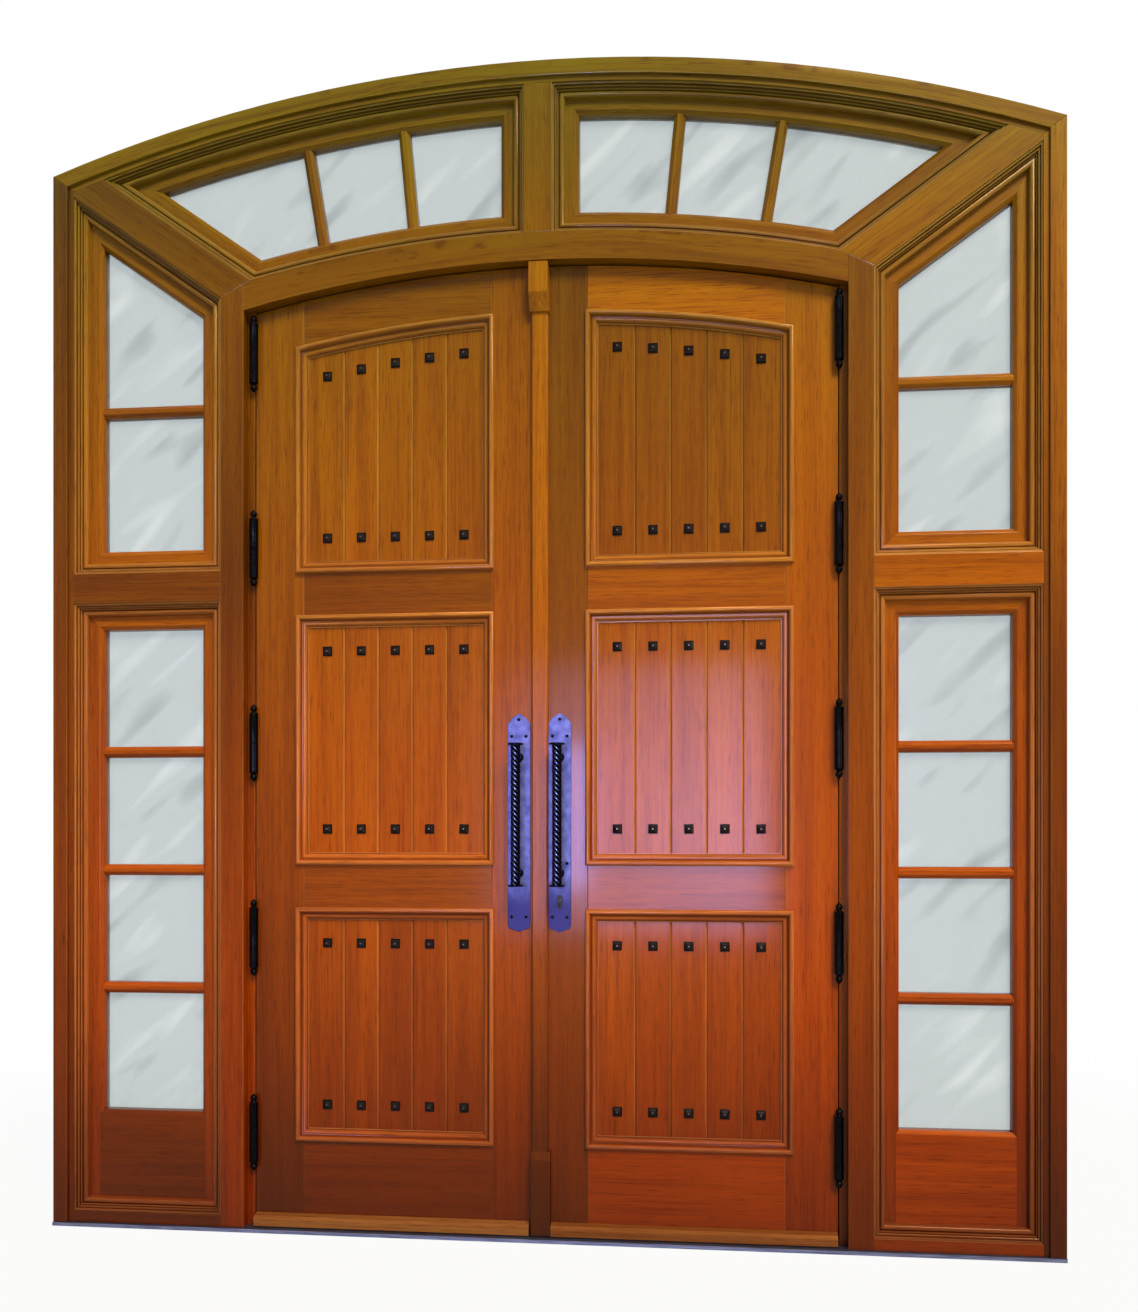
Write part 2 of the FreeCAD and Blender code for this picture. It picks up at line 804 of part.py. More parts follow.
def makeWeatherBar(near):
    # Sloped on top, with a drip groove underneath.
    low = sillThickness + weatherBarLift
    high = low + weatherBarHeight
    nose = leafRecess - weatherBarDepth
    profile = [
        (leafRecess, low),
        (nose + dripInset + dripWidth, low),
        (nose + dripInset + dripWidth, low + dripDepth),
        (nose + dripInset, low + dripDepth),
        (nose + dripInset, low),
        (nose, low),
        (nose, high - weatherBarNose),
        (nose + weatherBarSlope, high - weatherBarLip),
        (leafRecess, high),
    ]
    return sidePrism(profile, near, leafOuter - weatherBarInset)


def makeAstragal():
    # Strip, head block and foot block on the right leaf, clear of the left leaf behind them.
    front = leafRecess - astragalThickness
    plan = [
        (astragalFrom, leafRecess - sealGap),
        (astragalFrom, front + astragalBevel),
        (astragalFrom + astragalBevel, front),
        (astragalTo - astragalBevel, front),
        (astragalTo, front + astragalBevel),
        (astragalTo, leafRecess),
        (leafInner, leafRecess),
        (leafInner, leafRecess - sealGap),
    ]
    headTop = leafTop.height(0) - headBlockGap
    headBlockBottom = headTop - headBlockHeight
    strip = planPrism(plan, footBlockTop, headBlockBottom)
    headFront = leafRecess - headBlockThickness
    headShape = [
        (leafRecess, headBlockBottom),
        (headFront + blockSlope, headBlockBottom),
        (headFront, headBlockBottom + 2 * blockSlope),
        (headFront, headTop),
        (leafRecess, headTop),
    ]
    footFront = leafRecess - footBlockThickness
    footShape = [
        (leafRecess, leafBottom),
        (footFront, leafBottom),
        (footFront, footBlockTop - blockSlope),
        (front, footBlockTop),
        (leafRecess, footBlockTop),
    ]
    blocks = [
        sidePrism(headShape, headBlockFrom, headBlockFrom + blockWidth),
        sidePrism(footShape, footBlockFrom, footBlockFrom + blockWidth),
    ]
    seal = block(-blockWidth, leafInner, leafRecess - sealGap, leafRecess, 0, springHeight)
    return [strip] + [piece.cut(seal) for piece in blocks]


def hingePlate(x0, x1, z):
    half = hingeHeight / 2
    return block(x0, x1, leafRecess, hingeDepth + hingePlateDepth, z - half, z + half)


def makeHinge(z):
    # The lower knuckle belongs to the frame and the upper one to the leaf, which lifts off the pin.
    half = hingeHeight / 2
    gap = washerThickness / 2
    web = hingeDepth + hingeWebStart
    bore = pinRadius + runningClearance
    frameX = (halfDoorway, halfDoorway + hingePlateThickness)
    leafX = (leafOuter - hingePlateThickness, leafOuter)
    lower = rod(hingeX, hingeDepth, z - half, z - gap, knuckleRadius)
    lowerWeb = block(frameX[0], frameX[1], web, leafRecess, z - half, z - gap)
    lower = fuse([lower, lowerWeb, hingePlate(frameX[0], frameX[1], z)])
    lower = lower.cut(rod(hingeX, hingeDepth, z - half - 1, z, bore))
    upper = rod(hingeX, hingeDepth, z + gap, z + half, knuckleRadius)
    upperWeb = block(leafX[0], leafX[1], web, leafRecess, z + gap, z + half)
    topFinial = turned(hingeX, hingeDepth, [(radius, z + half + rise) for radius, rise in finialProfile])
    upper = fuse([upper, upperWeb, hingePlate(leafX[0], leafX[1], z), topFinial])
    pinTop = z + half - pinCover
    upper = upper.cut(rod(hingeX, hingeDepth, z, pinTop + washerThickness, bore))
    bottomFinial = turned(hingeX, hingeDepth, [(radius, z - half - rise) for radius, rise in finialProfile])
    pin = fuse([rod(hingeX, hingeDepth, z - half, pinTop, pinRadius), bottomFinial])
    washer = rod(hingeX, hingeDepth, z - gap, z + gap, washerRadius)
    washer = washer.cut(rod(hingeX, hingeDepth, z - half, z + half, bore))
    return lower, upper, pin, washer


def keyhole(front, back, growth=0.0):
    width = keySlotWidth / 2 + growth
    top = lockHeight + keyholeRadius
    slot = block(plateCentre - width, plateCentre + width, front, back, top - keySlotLength - growth, top)
    return fuse([disc(plateCentre, top, front, back, keyholeRadius + growth), slot])


def makePullPlate(hasKeyhole):
    # Half outline from the foot to the top point, then the other half back down.
    half = plateWidth / 2
    edge = [
        (0, plateBottom),
        (plateNib, plateBottom + plateNib / 2),
        (half - plateBottomShoulder, plateBottom + plateBottomPoint / 2),
        (half, plateBottom + plateBottomPoint),
        (half, plateTop - plateTopPoint),
        (half / 2 + plateTopSwell, plateTop - plateTopPoint / 2 + plateTopSwell),
        (0, plateTop),
    ]
    outline = [(plateCentre + x, z) for x, z in edge]
    outline += [(plateCentre - x, z) for x, z in reversed(edge[1:-1])]
    plate = prism(outline, plateFace, leafRecess)
    for x, z in screwPlaces():
        plate = plate.cut(disc(x, z, plateFace - 1, leafRecess + 1, screwShankRadius + screwShankGap))
    if hasKeyhole:
        plate = plate.cut(keyhole(plateFace - 1, leafRecess + 1))
    return plate


def screwPlaces():
    side = plateWidth / 2 - screwEdge
    upperPair = barTop + screwEdge * 2
    lowerPair = plateBottom + plateBottomPoint + screwEdge * 2
    return [
        (plateCentre, plateTop - plateTopPoint + screwEdge),
        (plateCentre - side, upperPair),
        (plateCentre + side, upperPair),
        (plateCentre + side, barBottom + standoffInset + standoffFootRadius * 2),
        (plateCentre - side, lowerPair),
        (plateCentre + side, lowerPair),
    ]


def makePullScrews():
    # Domed heads, with shanks that pass through the plate.
    crown = plateFace - screwHeadHeight
    profile = [
        (0, crown),
        (screwHeadRadius / 2, crown + screwHeadHeight / 6),
        (screwHeadRadius, plateFace - screwHeadHeight / 3),
        (screwHeadRadius, plateFace),
        (screwShankRadius, plateFace),
        (screwShankRadius, leafRecess),
        (0, leafRecess),
    ]
    screws = []
    for x, z in screwPlaces():
        loop = [vector(x + radius, depth, z) for radius, depth in profile]
        face = Part.Face(Part.makePolygon(loop + loop[:1]))
        screws.append(face.revolve(vector(x, 0, z), FreeCAD.Vector(0, 1, 0), 360))
    return screws


def makeRope(low, high):
    # Strands with a left-hand twist, as cross sections that turn a little more at each height.
    count = round((high - low) / ropeLay * ropeSections)
    strand = 2 * math.pi / ropeStrands
    places = [(-ropeCrest, barRadius), (ropeCrest, barRadius), (0.5, barRadius - ropeHollow)]
    sections = []
    for i in range(count + 1):
        z = low + (high - low) * i / count
        turn = -2 * math.pi * (z - low) / ropeLay
        loop = []
        for k in range(ropeStrands):
            for share, radius in places:
                angle = turn + strand * (k + share)
                x = plateCentre + radius * math.cos(angle)
                loop.append(vector(x, barDepth + radius * math.sin(angle), z))
        sections.append(Part.makePolygon(loop + loop[:1]))
    return Part.makeLoft(sections, True, True)


def makePullBar():
    # The bar ends in two flanges and stands on two round brackets with feet on the plate.
    foot = plateFace - standoffFootThickness
    pieces = [
        makeRope(barBottom + barFlangeThickness, barTop - barFlangeThickness),
        rod(plateCentre, barDepth, barBottom, barBottom + barFlangeThickness, barFlangeRadius),
        rod(plateCentre, barDepth, barTop - barFlangeThickness, barTop, barFlangeRadius),
    ]
    for z in (barBottom + standoffInset, barTop - standoffInset):
        pieces.append(disc(plateCentre, z, barDepth, plateFace, standoffRadius))
        pieces.append(disc(plateCentre, z, foot, plateFace, standoffFootRadius))
    return pieces[0].multiFuse(pieces[1:])


def makeEscutcheons():
    escutcheons = []
    straight = escutcheonHeight / 2 - escutcheonRadius
    for front in (plateFace - escutcheonThickness, leafBack):
        back = front + escutcheonThickness
        low = disc(plateCentre, lockHeight - straight, front, back, escutcheonRadius)
        high = disc(plateCentre, lockHeight + straight, front, back, escutcheonRadius)
        x0 = plateCentre - escutcheonRadius
        x1 = plateCentre + escutcheonRadius
        middle = block(x0, x1, front, back, lockHeight - straight, lockHeight + straight)
        escutcheons.append(fuse([low, high, middle]).cut(keyhole(front - 1, back + 1)))
    return escutcheons


def acrossMiddle(x0, x1, thickness, low, high):
    # A block centred in the thickness of the leaf.
    return block(x0, x1, leafMiddle - thickness / 2, leafMiddle + thickness / 2, low, high)


def lockPockets():
    caseX = forendSetback + forendThickness
    half = lockCaseHeight / 2
    forendHalf = forendHeight / 2
    return [
        acrossMiddle(0, caseX + lockCaseDepth, lockCaseThickness, lockHeight - half, lockHeight + half),
        acrossMiddle(0, caseX, forendWidth, lockHeight - forendHalf, lockHeight + forendHalf),
        keyhole(leafRecess - 1, leafBack + 1),
    ]


def makeLockCase():
    x0 = forendSetback + forendThickness
    x1 = x0 + lockCaseDepth
    low = lockHeight - lockCaseHeight / 2
    high = low + lockCaseHeight
    case = acrossMiddle(x0, x1, lockCaseThickness, low, high)
    inside = lockCaseThickness - 2 * lockWall
    case = case.cut(acrossMiddle(x0 + lockWall, x1 - lockWall, inside, low + lockWall, high - lockWall))
    forendLow = lockHeight - forendHeight / 2
    forend = acrossMiddle(forendSetback, x0, forendWidth, forendLow, forendLow + forendHeight)
    case = fuse([case, forend])
    slotLow = boltBottom - boltClearance
    slotHigh = boltTop + boltClearance
    slot = acrossMiddle(0, x0 + lockWall + 1, boltThickness + 2 * boltClearance, slotLow, slotHigh)
    return case.cut(slot).cut(keyhole(leafRecess, leafBack))


def makeDeadbolt():
    return acrossMiddle(boltTip, boltTip + boltLength, boltThickness, boltBottom, boltTop)


def boltPocket():
    grown = boltThickness + 2 * boltPocketClearance
    low = boltBottom - boltPocketClearance
    return acrossMiddle(0, forendSetback + boltPocketDepth, grown, low, boltTop + boltPocketClearance)


def strikeRecess():
    low = (boltBottom + boltTop - strikeHeight) / 2
    x1 = forendSetback + forendThickness
    return acrossMiddle(forendSetback, x1, forendWidth, low, low + strikeHeight)


def upwards(z0, z1):
    return min(z0, z1), max(z0, z1)


def makeFlushBolt(tip, way, throw):
    # Rod with knob, its case, and the room that both need in the stile. way is 1 for a bolt that rises.
    end = tip - way * rodLength
    knob = end + way * knobInset
    play = knobRadius + knobClearance
    knobFrom = forendSetback + knobSetback
    bolt = rod(rodInset, leafMiddle, *upwards(end, tip), rodRadius)
    knobEnd = vector(knobFrom, leafMiddle, knob)
    handle = Part.makeCylinder(knobRadius, rodInset - knobFrom, knobEnd, sideways)
    caseEnd = end - way * flushCaseTail
    caseEnds = upwards(caseEnd, caseEnd + way * flushCaseHeight)
    caseX1 = forendSetback + flushCaseDepth
    room = acrossMiddle(forendSetback, caseX1, flushCaseWidth, *caseEnds)
    boreEnds = upwards(caseEnd + way * flushCaseWall, tip)
    case = room.cut(rod(rodInset, leafMiddle, *boreEnds, rodRadius + 2 * runningClearance))
    slotEnds = upwards(knob - way * play, knob + way * (throw + play))
    case = case.cut(acrossMiddle(0, rodInset, 2 * play, *slotEnds))
    mortise = acrossMiddle(0, caseX1, flushCaseWidth, *caseEnds)
    bore = rod(rodInset, leafMiddle, *upwards(end, tip + way * headRailWidth), rodRadius + rodBoreClearance)
    return fuse([bolt, handle]), case, [mortise, bore]


os.makedirs("parts", exist_ok=True)

# Frame members
jamb = makeJamb()
archHead = makeArchHead()
post = makePost()
diagonal = makeDiagonal(archHead, post)
centreSides = [headRailTop, upright(centrePostWidth / 2), archInner, upright(-centrePostWidth / 2)]
crossRail = eased(between(postOuter, jambInner, crossRailBottom, crossRailTop, 0, frameDepth), 0)
baseRail = eased(between(postOuter, jambInner, sillThickness, baseRailTop, 0, frameDepth), 0)
bothPosts = [post, diagonal] + mirrored([post, diagonal])
write("right_jamb", [jamb])
write("left_jamb", mirrored([jamb]))
write("arch_head", [archHead])
write("right_post", [post])
write("left_post", mirrored([post]))
write("right_diagonal_post", [diagonal])
write("left_diagonal_post", mirrored([diagonal]))
write("centre_post", [eased(slab(centreSides, 0, 0, frameDepth), 0)])
write("door_head_rail", [makeHeadRail(bothPosts)])
write("right_side_rails", [crossRail, baseRail])
write("left_side_rails", mirrored([crossRail, baseRail]))
write("sill", [makeSill()])

# Fixed lights
lowerRing = [level(-frameDepth, 1)] + lowerLight[1:]
upperSash = ring(upperLight, sashProfile)
transomSash = ring(transomLight, sashProfile)
lowerSash = ring(lowerRing, sashProfile)[1:]
floorCut = block(postOuter, jambInner, 0, frameDepth, -springHeight, baseRailTop + sashMargin)
lowerSash = [member.cut(floorCut) for member in lowerSash]
bottomPanel = makeBottomPanel(lowerSash)
lowerGlassHeight = crossRailBottom - sightWidth - lowerGlassBottom
lowerPitch = (lowerGlassHeight - 2 * endPaneExtra + muntinWidth) / lowerPanes
lowerBars = []
for i in range(1, lowerPanes):
    lowerBars.append(level(lowerGlassBottom + endPaneExtra + lowerPitch * i - muntinWidth / 2))
lowerGlazed = [level(lowerGlassBottom - sightWidth, 1)] + lowerLight[1:]
transomBars = []
reached = centrePostWidth / 2 + sightWidth
for paneWidth in transomPanes:
    lean = (reached + paneWidth + muntinWidth / 2) / archInner.inset(sightWidth).radius
    transomBars.append(Straight(0, archCentre, math.cos(lean), -math.sin(lean)))
    reached += paneWidth + muntinWidth
lights = [
    ("upper", upperLight, [level(postTop[1] - upperMuntinDrop)], 0, upperSash),
    ("lower", lowerGlazed, lowerBars, 0, lowerSash),
    ("transom", transomLight, transomBars, 3, transomSash),
]
panes = []
beads = []
for name, sides, bars, first, sash in lights:
    muntins, lightPanes, lightBeads = makeLight(sides, bars, first, sash)
    panes.extend(lightPanes)
    beads.extend(lightBeads)
    write("right_" + name + "_sash", sash + muntins)
    write("left_" + name + "_sash", mirrored(sash + muntins))
sideMouldings = []
for sides in (upperLight, lowerLight):
    sideMouldings.extend(ring(sides, revealProfile) + ring(sides, sideStopProfile))
transomMouldings = ring(transomLight, revealProfile) + ring(transomLight, sideStopProfile)
write("right_side_mouldings", sideMouldings)
write("left_side_mouldings", mirrored(sideMouldings))
write("transom_mouldings", transomMouldings + mirrored(transomMouldings))
write("glass_panes", panes + mirrored(panes))
write("glazing_beads", beads + mirrored(beads))
write("side_bottom_panels", [bottomPanel] + mirrored([bottomPanel]))

# Hinges
hinges = [makeHinge(z) for z in hingeHeights]
lowerKnuckles = [hinge[0] for hinge in hinges]
upperKnuckles = [hinge[1] for hinge in hinges]
pins = [hinge[2] for hinge in hinges] + [hinge[3] for hinge in hinges]
write("frame_hinge_plates", lowerKnuckles + mirrored(lowerKnuckles))
write("hinge_pins", pins + mirrored(pins))
write("right_hinge_plates", upperKnuckles)
write("left_hinge_plates", mirrored(upperKnuckles))

# Leaves
topBolt, topCase, topRoom = makeFlushBolt(leafTop.height(rodInset) - rodSetback, 1, topRodThrow)
bottomBolt, bottomCase, bottomRoom = makeFlushBolt(leafBottom + rodSetback, -1, bottomRodThrow)
stiles, rails = makeMembers()
hingeStile = makeHingeStile(stiles[0])
rightMeetingStile = makeMeetingStile(stiles[1], lockPockets())
leftPockets = [boltPocket(), strikeRecess()] + topRoom + bottomRoom
leftMeetingStile = makeMeetingStile(stiles[1], leftPockets)
easedRails = [eased(rail, leafRecess) for rail in rails]
boards = []
for opening in openings:
    boards.extend(makeBoards(opening))
mouldings = makePanelMouldings(stiles + rails)
studs = makeStuds()
pullBar = makePullBar()
pullScrews = makePullScrews()
shared = {
    "hinge_stile": [hingeStile],
    "bottom_rail": easedRails[:1],
    "middle_rails": easedRails[1:3],
    "top_rail": easedRails[3:],
    "boards": boards,
    "panel_mouldings": mouldings,
    "clavos": studs,
    "pull_screws": pullScrews,
}
for name, shapes in shared.items():
    write("right_" + name, shapes)
    write("left_" + name, mirrored(shapes))
write("right_meeting_stile", [rightMeetingStile])
write("left_meeting_stile", mirrored([leftMeetingStile]))
write("right_pull_bar", [pullBar])
write("left_pull_bar", [pullBar.translated(FreeCAD.Vector(-2 * plateCentre, 0, 0))])
write("right_weather_bar", [makeWeatherBar(footBlockFrom + blockWidth + footBlockGap)])
write("left_weather_bar", mirrored([makeWeatherBar(weatherBarClearance - footBlockFrom)]))
write("right_pull_plate", [makePullPlate(True)])
write("left_pull_plate", mirrored([makePullPlate(False)]))
write("astragal", makeAstragal())

# Locks and bolts
write("lock_case", [makeLockCase()])
write("keyhole_escutcheons", makeEscutcheons())
write("deadbolt", [makeDeadbolt()])
write("strike_plate", mirrored([strikeRecess().cut(boltPocket())]))
write("flush_bolt_cases", mirrored([topCase, bottomCase]))
write("top_flush_bolt", mirrored([topBolt]))
write("bottom_flush_bolt", mirrored([bottomBolt]))
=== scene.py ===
# Arched mahogany entrance: a pair of panelled leaves in a frame with sidelights and a transom.
# The dictionaries hold millimetres, with depths measured back from the frame's face. Meshes are in metres.
import bmesh
import bpy
import json
import math
import random
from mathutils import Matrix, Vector

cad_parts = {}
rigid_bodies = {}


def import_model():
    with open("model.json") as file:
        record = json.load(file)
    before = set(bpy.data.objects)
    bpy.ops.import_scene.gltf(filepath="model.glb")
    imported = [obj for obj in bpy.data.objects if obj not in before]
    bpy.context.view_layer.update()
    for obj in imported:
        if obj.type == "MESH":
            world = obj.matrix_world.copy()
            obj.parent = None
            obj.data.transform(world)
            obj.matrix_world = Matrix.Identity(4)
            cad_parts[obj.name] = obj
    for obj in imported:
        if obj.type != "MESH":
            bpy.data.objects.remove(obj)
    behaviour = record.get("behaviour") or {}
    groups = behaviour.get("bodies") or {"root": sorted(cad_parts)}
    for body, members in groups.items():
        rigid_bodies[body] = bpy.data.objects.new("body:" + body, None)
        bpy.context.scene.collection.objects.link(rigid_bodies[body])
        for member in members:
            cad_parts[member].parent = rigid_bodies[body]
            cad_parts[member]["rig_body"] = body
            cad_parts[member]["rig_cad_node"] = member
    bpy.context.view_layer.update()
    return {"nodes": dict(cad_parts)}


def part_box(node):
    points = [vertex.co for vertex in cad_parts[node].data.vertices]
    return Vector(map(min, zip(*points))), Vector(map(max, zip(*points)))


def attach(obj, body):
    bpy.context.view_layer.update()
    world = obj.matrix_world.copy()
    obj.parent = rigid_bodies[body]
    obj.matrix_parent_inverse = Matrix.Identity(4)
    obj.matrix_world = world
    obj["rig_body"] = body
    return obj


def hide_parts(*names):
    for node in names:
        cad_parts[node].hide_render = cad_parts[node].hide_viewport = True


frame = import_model()
nodes = frame["nodes"]
mm = 0.001
print("frame loaded:", len(nodes), "nodes")

# Sizes that several pieces share
joinery = {
    "halfDepth": 70.0,  # frame face to the plane y = 0
    "postOuter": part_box("right_post")[1].x / mm,
    "jambInner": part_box("right_jamb")[0].x / mm,
    "crossRailBottom": 1758.0,
    "crossRailTop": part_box("right_side_rails")[1].z / mm,
    "baseRailTop": 42.0,
    "centrePostHalf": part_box("centre_post")[1].x / mm,
    "shoulder": (809.0, 2649.8),  # where head rail, post and diagonal meet
    "postTop": (897.0, 2604.6),
    "jambTop": 2910.9,  # lower edge of the diagonal at the jamb
    "archInner": (-985.5, 4131.5), "railTop": (-864.0, 3606.0),  # arcs: height of the centre, and radius
    "leafTop": (-864.0, 3525.0), "panelTop": (-864.0, 3381.0),
    "sightWidth": 69.0,  # frame member to visible glass
    "diagonal": 35.3,  # degrees of slope
}
leaves = (("right", 1), ("left", -1))  # each leaf, and which side of x = 0 it is on


def toLinear(text):
    # sRGB hex to linear RGBA
    parts = [int(text[i:i + 2], 16) / 255 for i in (1, 3, 5)]
    return tuple(p / 12.92 if p <= 0.04045 else ((p + 0.055) / 1.055) ** 2.4 for p in parts) + (1.0,)


def addNode(tree, kind, inputs=None, stops=None, **settings):
    # An input takes a value, a socket, or a node's first output
    node = tree.nodes.new("ShaderNode" + kind)
    for name, value in settings.items():
        setattr(node, name, value)
    for name, value in (inputs or {}).items():
        value = value.outputs[0] if isinstance(value, bpy.types.Node) else value
        if isinstance(value, bpy.types.NodeSocket):
            tree.links.new(value, node.inputs[name])
        else:
            node.inputs[name].default_value = value
    if stops:
        ramp = node.color_ramp
        while len(ramp.elements) < len(stops):
            ramp.elements.new(0.5)
        for element, (place, colour) in zip(ramp.elements, stops):
            element.position = place
            element.color = toLinear(colour)
    return node


def newMaterial(name):
    material = bpy.data.materials.new(name)
    material.use_nodes = True
    material.node_tree.nodes.clear()
    return material, material.node_tree


# Varnished mahogany: fine short pores and a soft ribbon, golden high up and deep red near the floor, its
# colour set by height.
# The varnish is old and ambered, so its even reflection is warm and only a lamp shows white in it.
mahogany = {
    "colours": [
        (0.00, "#6C2501"), (0.05, "#7C2D01"), (0.12, "#953B01"), (0.20, "#AA4A01"), (0.30, "#B65401"),
        (0.42, "#B65A00"), (0.52, "#AE5E00"), (0.64, "#AA6700"), (0.75, "#A26A00"), (0.84, "#946900"),
        (0.92, "#826A02"), (1.00, "#7A7008"),
    ],
    "height": 3.2,  # metres from the first colour to the last
    "figures": {  # width, length, detail and roughness
        "ribbon": (34.0, 900.0, 3.0, 0.5), "streak": (7.0, 380.0, 3.0, 0.55),
        "pore": (2.4, 60.0, 2.0, 0.5),  # real pores are 0.2 mm wide, drawn coarser so that they show
        "member": (900.0, 5200.0, 1.0, 0.5), "wander": (260.0, 700.0, 2.0, 0.5),
    },
    "shades": {
        "ribbon": [(0.30, "#D8C8BC"), (0.52, "#F4EEEA"), (0.70, "#FFFFFF")],
        "streak": [(0.30, "#DCCDC2"), (0.46, "#F6F1ED"), (0.60, "#FFFFFF")],
        "pore": [(0.30, "#C8B0A0"), (0.46, "#FFFFFF")],
        "member": [(0.36, "#E6D6CA"), (0.64, "#FFFFFF")],
    },
    "sway": 0.10,  # how far the change of colour wanders up and down
    "value": 1.06,
    "paintedHighlight": {"Hue": 0.526, "Saturation": 0.90, "Value": 1.42},  # painted highlight: paler, more golden wood where the share is set
    "amber": "#C8802C", "roughness": (0.30, 0.46), "coat": 0.15, "coatRoughness": 0.10,
    "poreDepth": 0.2, "poreBump": 0.3,
}

# The drip bars at the foot, bleached and greyed by rain
weathered = [(0.00, "#8A5A2C"), (0.06, "#7E4E22")]


def makeMahogany(name, place, colours):
    # place is "grain", the attribute that holds (across, through, along), or "level" for wood lying along x
    material, tree = newMaterial(name)
    look = mahogany
    where = addNode(tree, "TexCoord").outputs["Object"]
    height = addNode(tree, "SeparateXYZ", {"Vector": where}).outputs["Z"]
    value = look["value"]
    if place == "grain":
        vector = addNode(tree, "Attribute", attribute_name="grain").outputs["Vector"]
        # the tone attribute also carries painted shade
        tone = addNode(tree, "Attribute", attribute_name="tone").outputs["Fac"]
        value = addNode(tree, "Math", {0: tone, 1: value}, operation="MULTIPLY")
    else:
        vector = addNode(tree, "Mapping", {"Vector": where, "Rotation": (0, math.radians(90), 0)})
    noises = {}
    for figure, (across, along, detail, lumps) in look["figures"].items():
        scale = (1 / (across * mm), 1 / (across * mm), 1 / (along * mm))
        mapping = addNode(tree, "Mapping", {"Vector": vector, "Scale": scale})
        noises[figure] = addNode(tree, "TexNoise", {
            "Vector": mapping, "Scale": 1.0, "Detail": detail, "Roughness": lumps})
    sway = addNode(tree, "Math", {0: noises["wander"], 1: look["sway"], 2: -look["sway"] / 2},
                   operation="MULTIPLY_ADD")
    level = addNode(tree, "Math", {0: height, 1: 1 / look["height"], 2: sway}, operation="MULTIPLY_ADD")
    colour = addNode(tree, "ValToRGB", {"Fac": level}, colours)
    for figure, shades in look["shades"].items():
        shade = addNode(tree, "ValToRGB", {"Fac": noises[figure]}, shades)
        colour = addNode(tree, "Mix", {0: 1.0, 6: colour, 7: shade},
                         data_type="RGBA", blend_type="MULTIPLY").outputs[2]
    lift = addNode(tree, "HueSaturation", {"Color": colour, "Value": value})
    # painted highlight on crests, arrises and V joints
    highlightShare = addNode(tree, "Attribute", attribute_name="highlightShare").outputs["Fac"]
    paintedHighlight = addNode(tree, "HueSaturation", {"Color": lift, "Fac": highlightShare, **look["paintedHighlight"]})
    gloss = addNode(tree, "MapRange", {
        "Value": noises["streak"], "To Min": look["roughness"][1], "To Max": look["roughness"][0]})
    bump = addNode(tree, "Bump", {
        "Strength": look["poreBump"], "Distance": look["poreDepth"] * mm, "Height": noises["pore"]})
    surface = addNode(tree, "BsdfPrincipled", {
        "Base Color": paintedHighlight, "Roughness": gloss, "IOR": 1.5, "Specular Tint": toLinear(look["amber"]),
        "Coat Weight": look["coat"], "Coat Roughness": look["coatRoughness"], "Normal": bump})
    addNode(tree, "OutputMaterial", {"Surface": surface})
    return material


# Wrought iron, hammered, so that its highlights break up softly. It is black from oil burnt on to it, navy
# on the waxed grips, and heat-blued on the plates, deepest at the foot. A painted highlight brightens the
# studs' points and a line on the grips' strand crests.
irons = {
    "blackenedIron": {"dark": "#040405", "light": "#0E0F10", "paintedHighlight": "#5C5148", "wax": 0.05,
                      "roughness": (0.28, 0.44), "hammer": 9.0, "grit": 1.4, "depth": 0.45},
    "waxedNavyIron": {"dark": "#020310", "light": "#060920", "paintedHighlight": "#7A80A4", "wax": 0.05,
                      "roughness": (0.20, 0.32), "hammer": 7.0, "grit": 1.2, "depth": 0.2},
    "heatBluedIron": {"dark": "#484A74", "light": "#666893", "paintedHighlight": "#8E8CB0", "wax": 0.0,
                      "roughness": (0.55, 0.68), "hammer": 22.0, "grit": 1.6, "depth": 0.3,
                      "foot": "#35315A", "footFrom": 1.00, "footTo": 0.90},  # metres up
}


def makeIron(name):
    finish = irons[name]
    material, tree = newMaterial(name)
    place = addNode(tree, "TexCoord").outputs["Object"]
    hammer = addNode(tree, "TexNoise", {
        "Vector": place, "Scale": 1000 / finish["hammer"], "Detail": 1.5, "Roughness": 0.4})
    grit = addNode(tree, "TexNoise", {
        "Vector": place, "Scale": 1000 / finish["grit"], "Detail": 3.0, "Roughness": 0.6})
    both = addNode(tree, "Math", {0: grit, 1: 0.22, 2: hammer}, operation="MULTIPLY_ADD")
    colour = addNode(tree, "ValToRGB", {"Fac": both}, [(0.42, finish["dark"]), (0.80, finish["light"])])
    if "foot" in finish:
        height = addNode(tree, "SeparateXYZ", {"Vector": place}).outputs["Z"]
        down = addNode(tree, "MapRange", {
            "Value": height, "From Min": finish["footFrom"], "From Max": finish["footTo"],
            "To Min": 0.0, "To Max": 1.0}, interpolation_type="SMOOTHSTEP")
        colour = addNode(tree, "Mix", {0: down, 6: colour, 7: toLinear(finish["foot"])},
                         data_type="RGBA").outputs[2]
    # painted highlight: where the attribute is set, the iron takes the pale colour
    paintedGlint = addNode(tree, "Attribute", attribute_name="paintedGlint").outputs["Fac"]
    glinting = addNode(tree, "Mix", {0: paintedGlint, 6: colour, 7: toLinear(finish["paintedHighlight"])}, data_type="RGBA")
    gloss = addNode(tree, "MapRange", {
        "Value": grit, "From Min": 0.3, "From Max": 0.7,
        "To Min": finish["roughness"][0], "To Max": finish["roughness"][1]})
    bump = addNode(tree, "Bump", {"Strength": 0.5, "Distance": finish["depth"] * mm, "Height": both})
    surface = addNode(tree, "BsdfPrincipled", {
        "Base Color": glinting.outputs[2], "Metallic": 1.0, "Roughness": gloss, "Normal": bump,
        "Coat Weight": finish["wax"], "Coat Roughness": 0.12})
    addNode(tree, "OutputMaterial", {"Surface": surface})
    return material


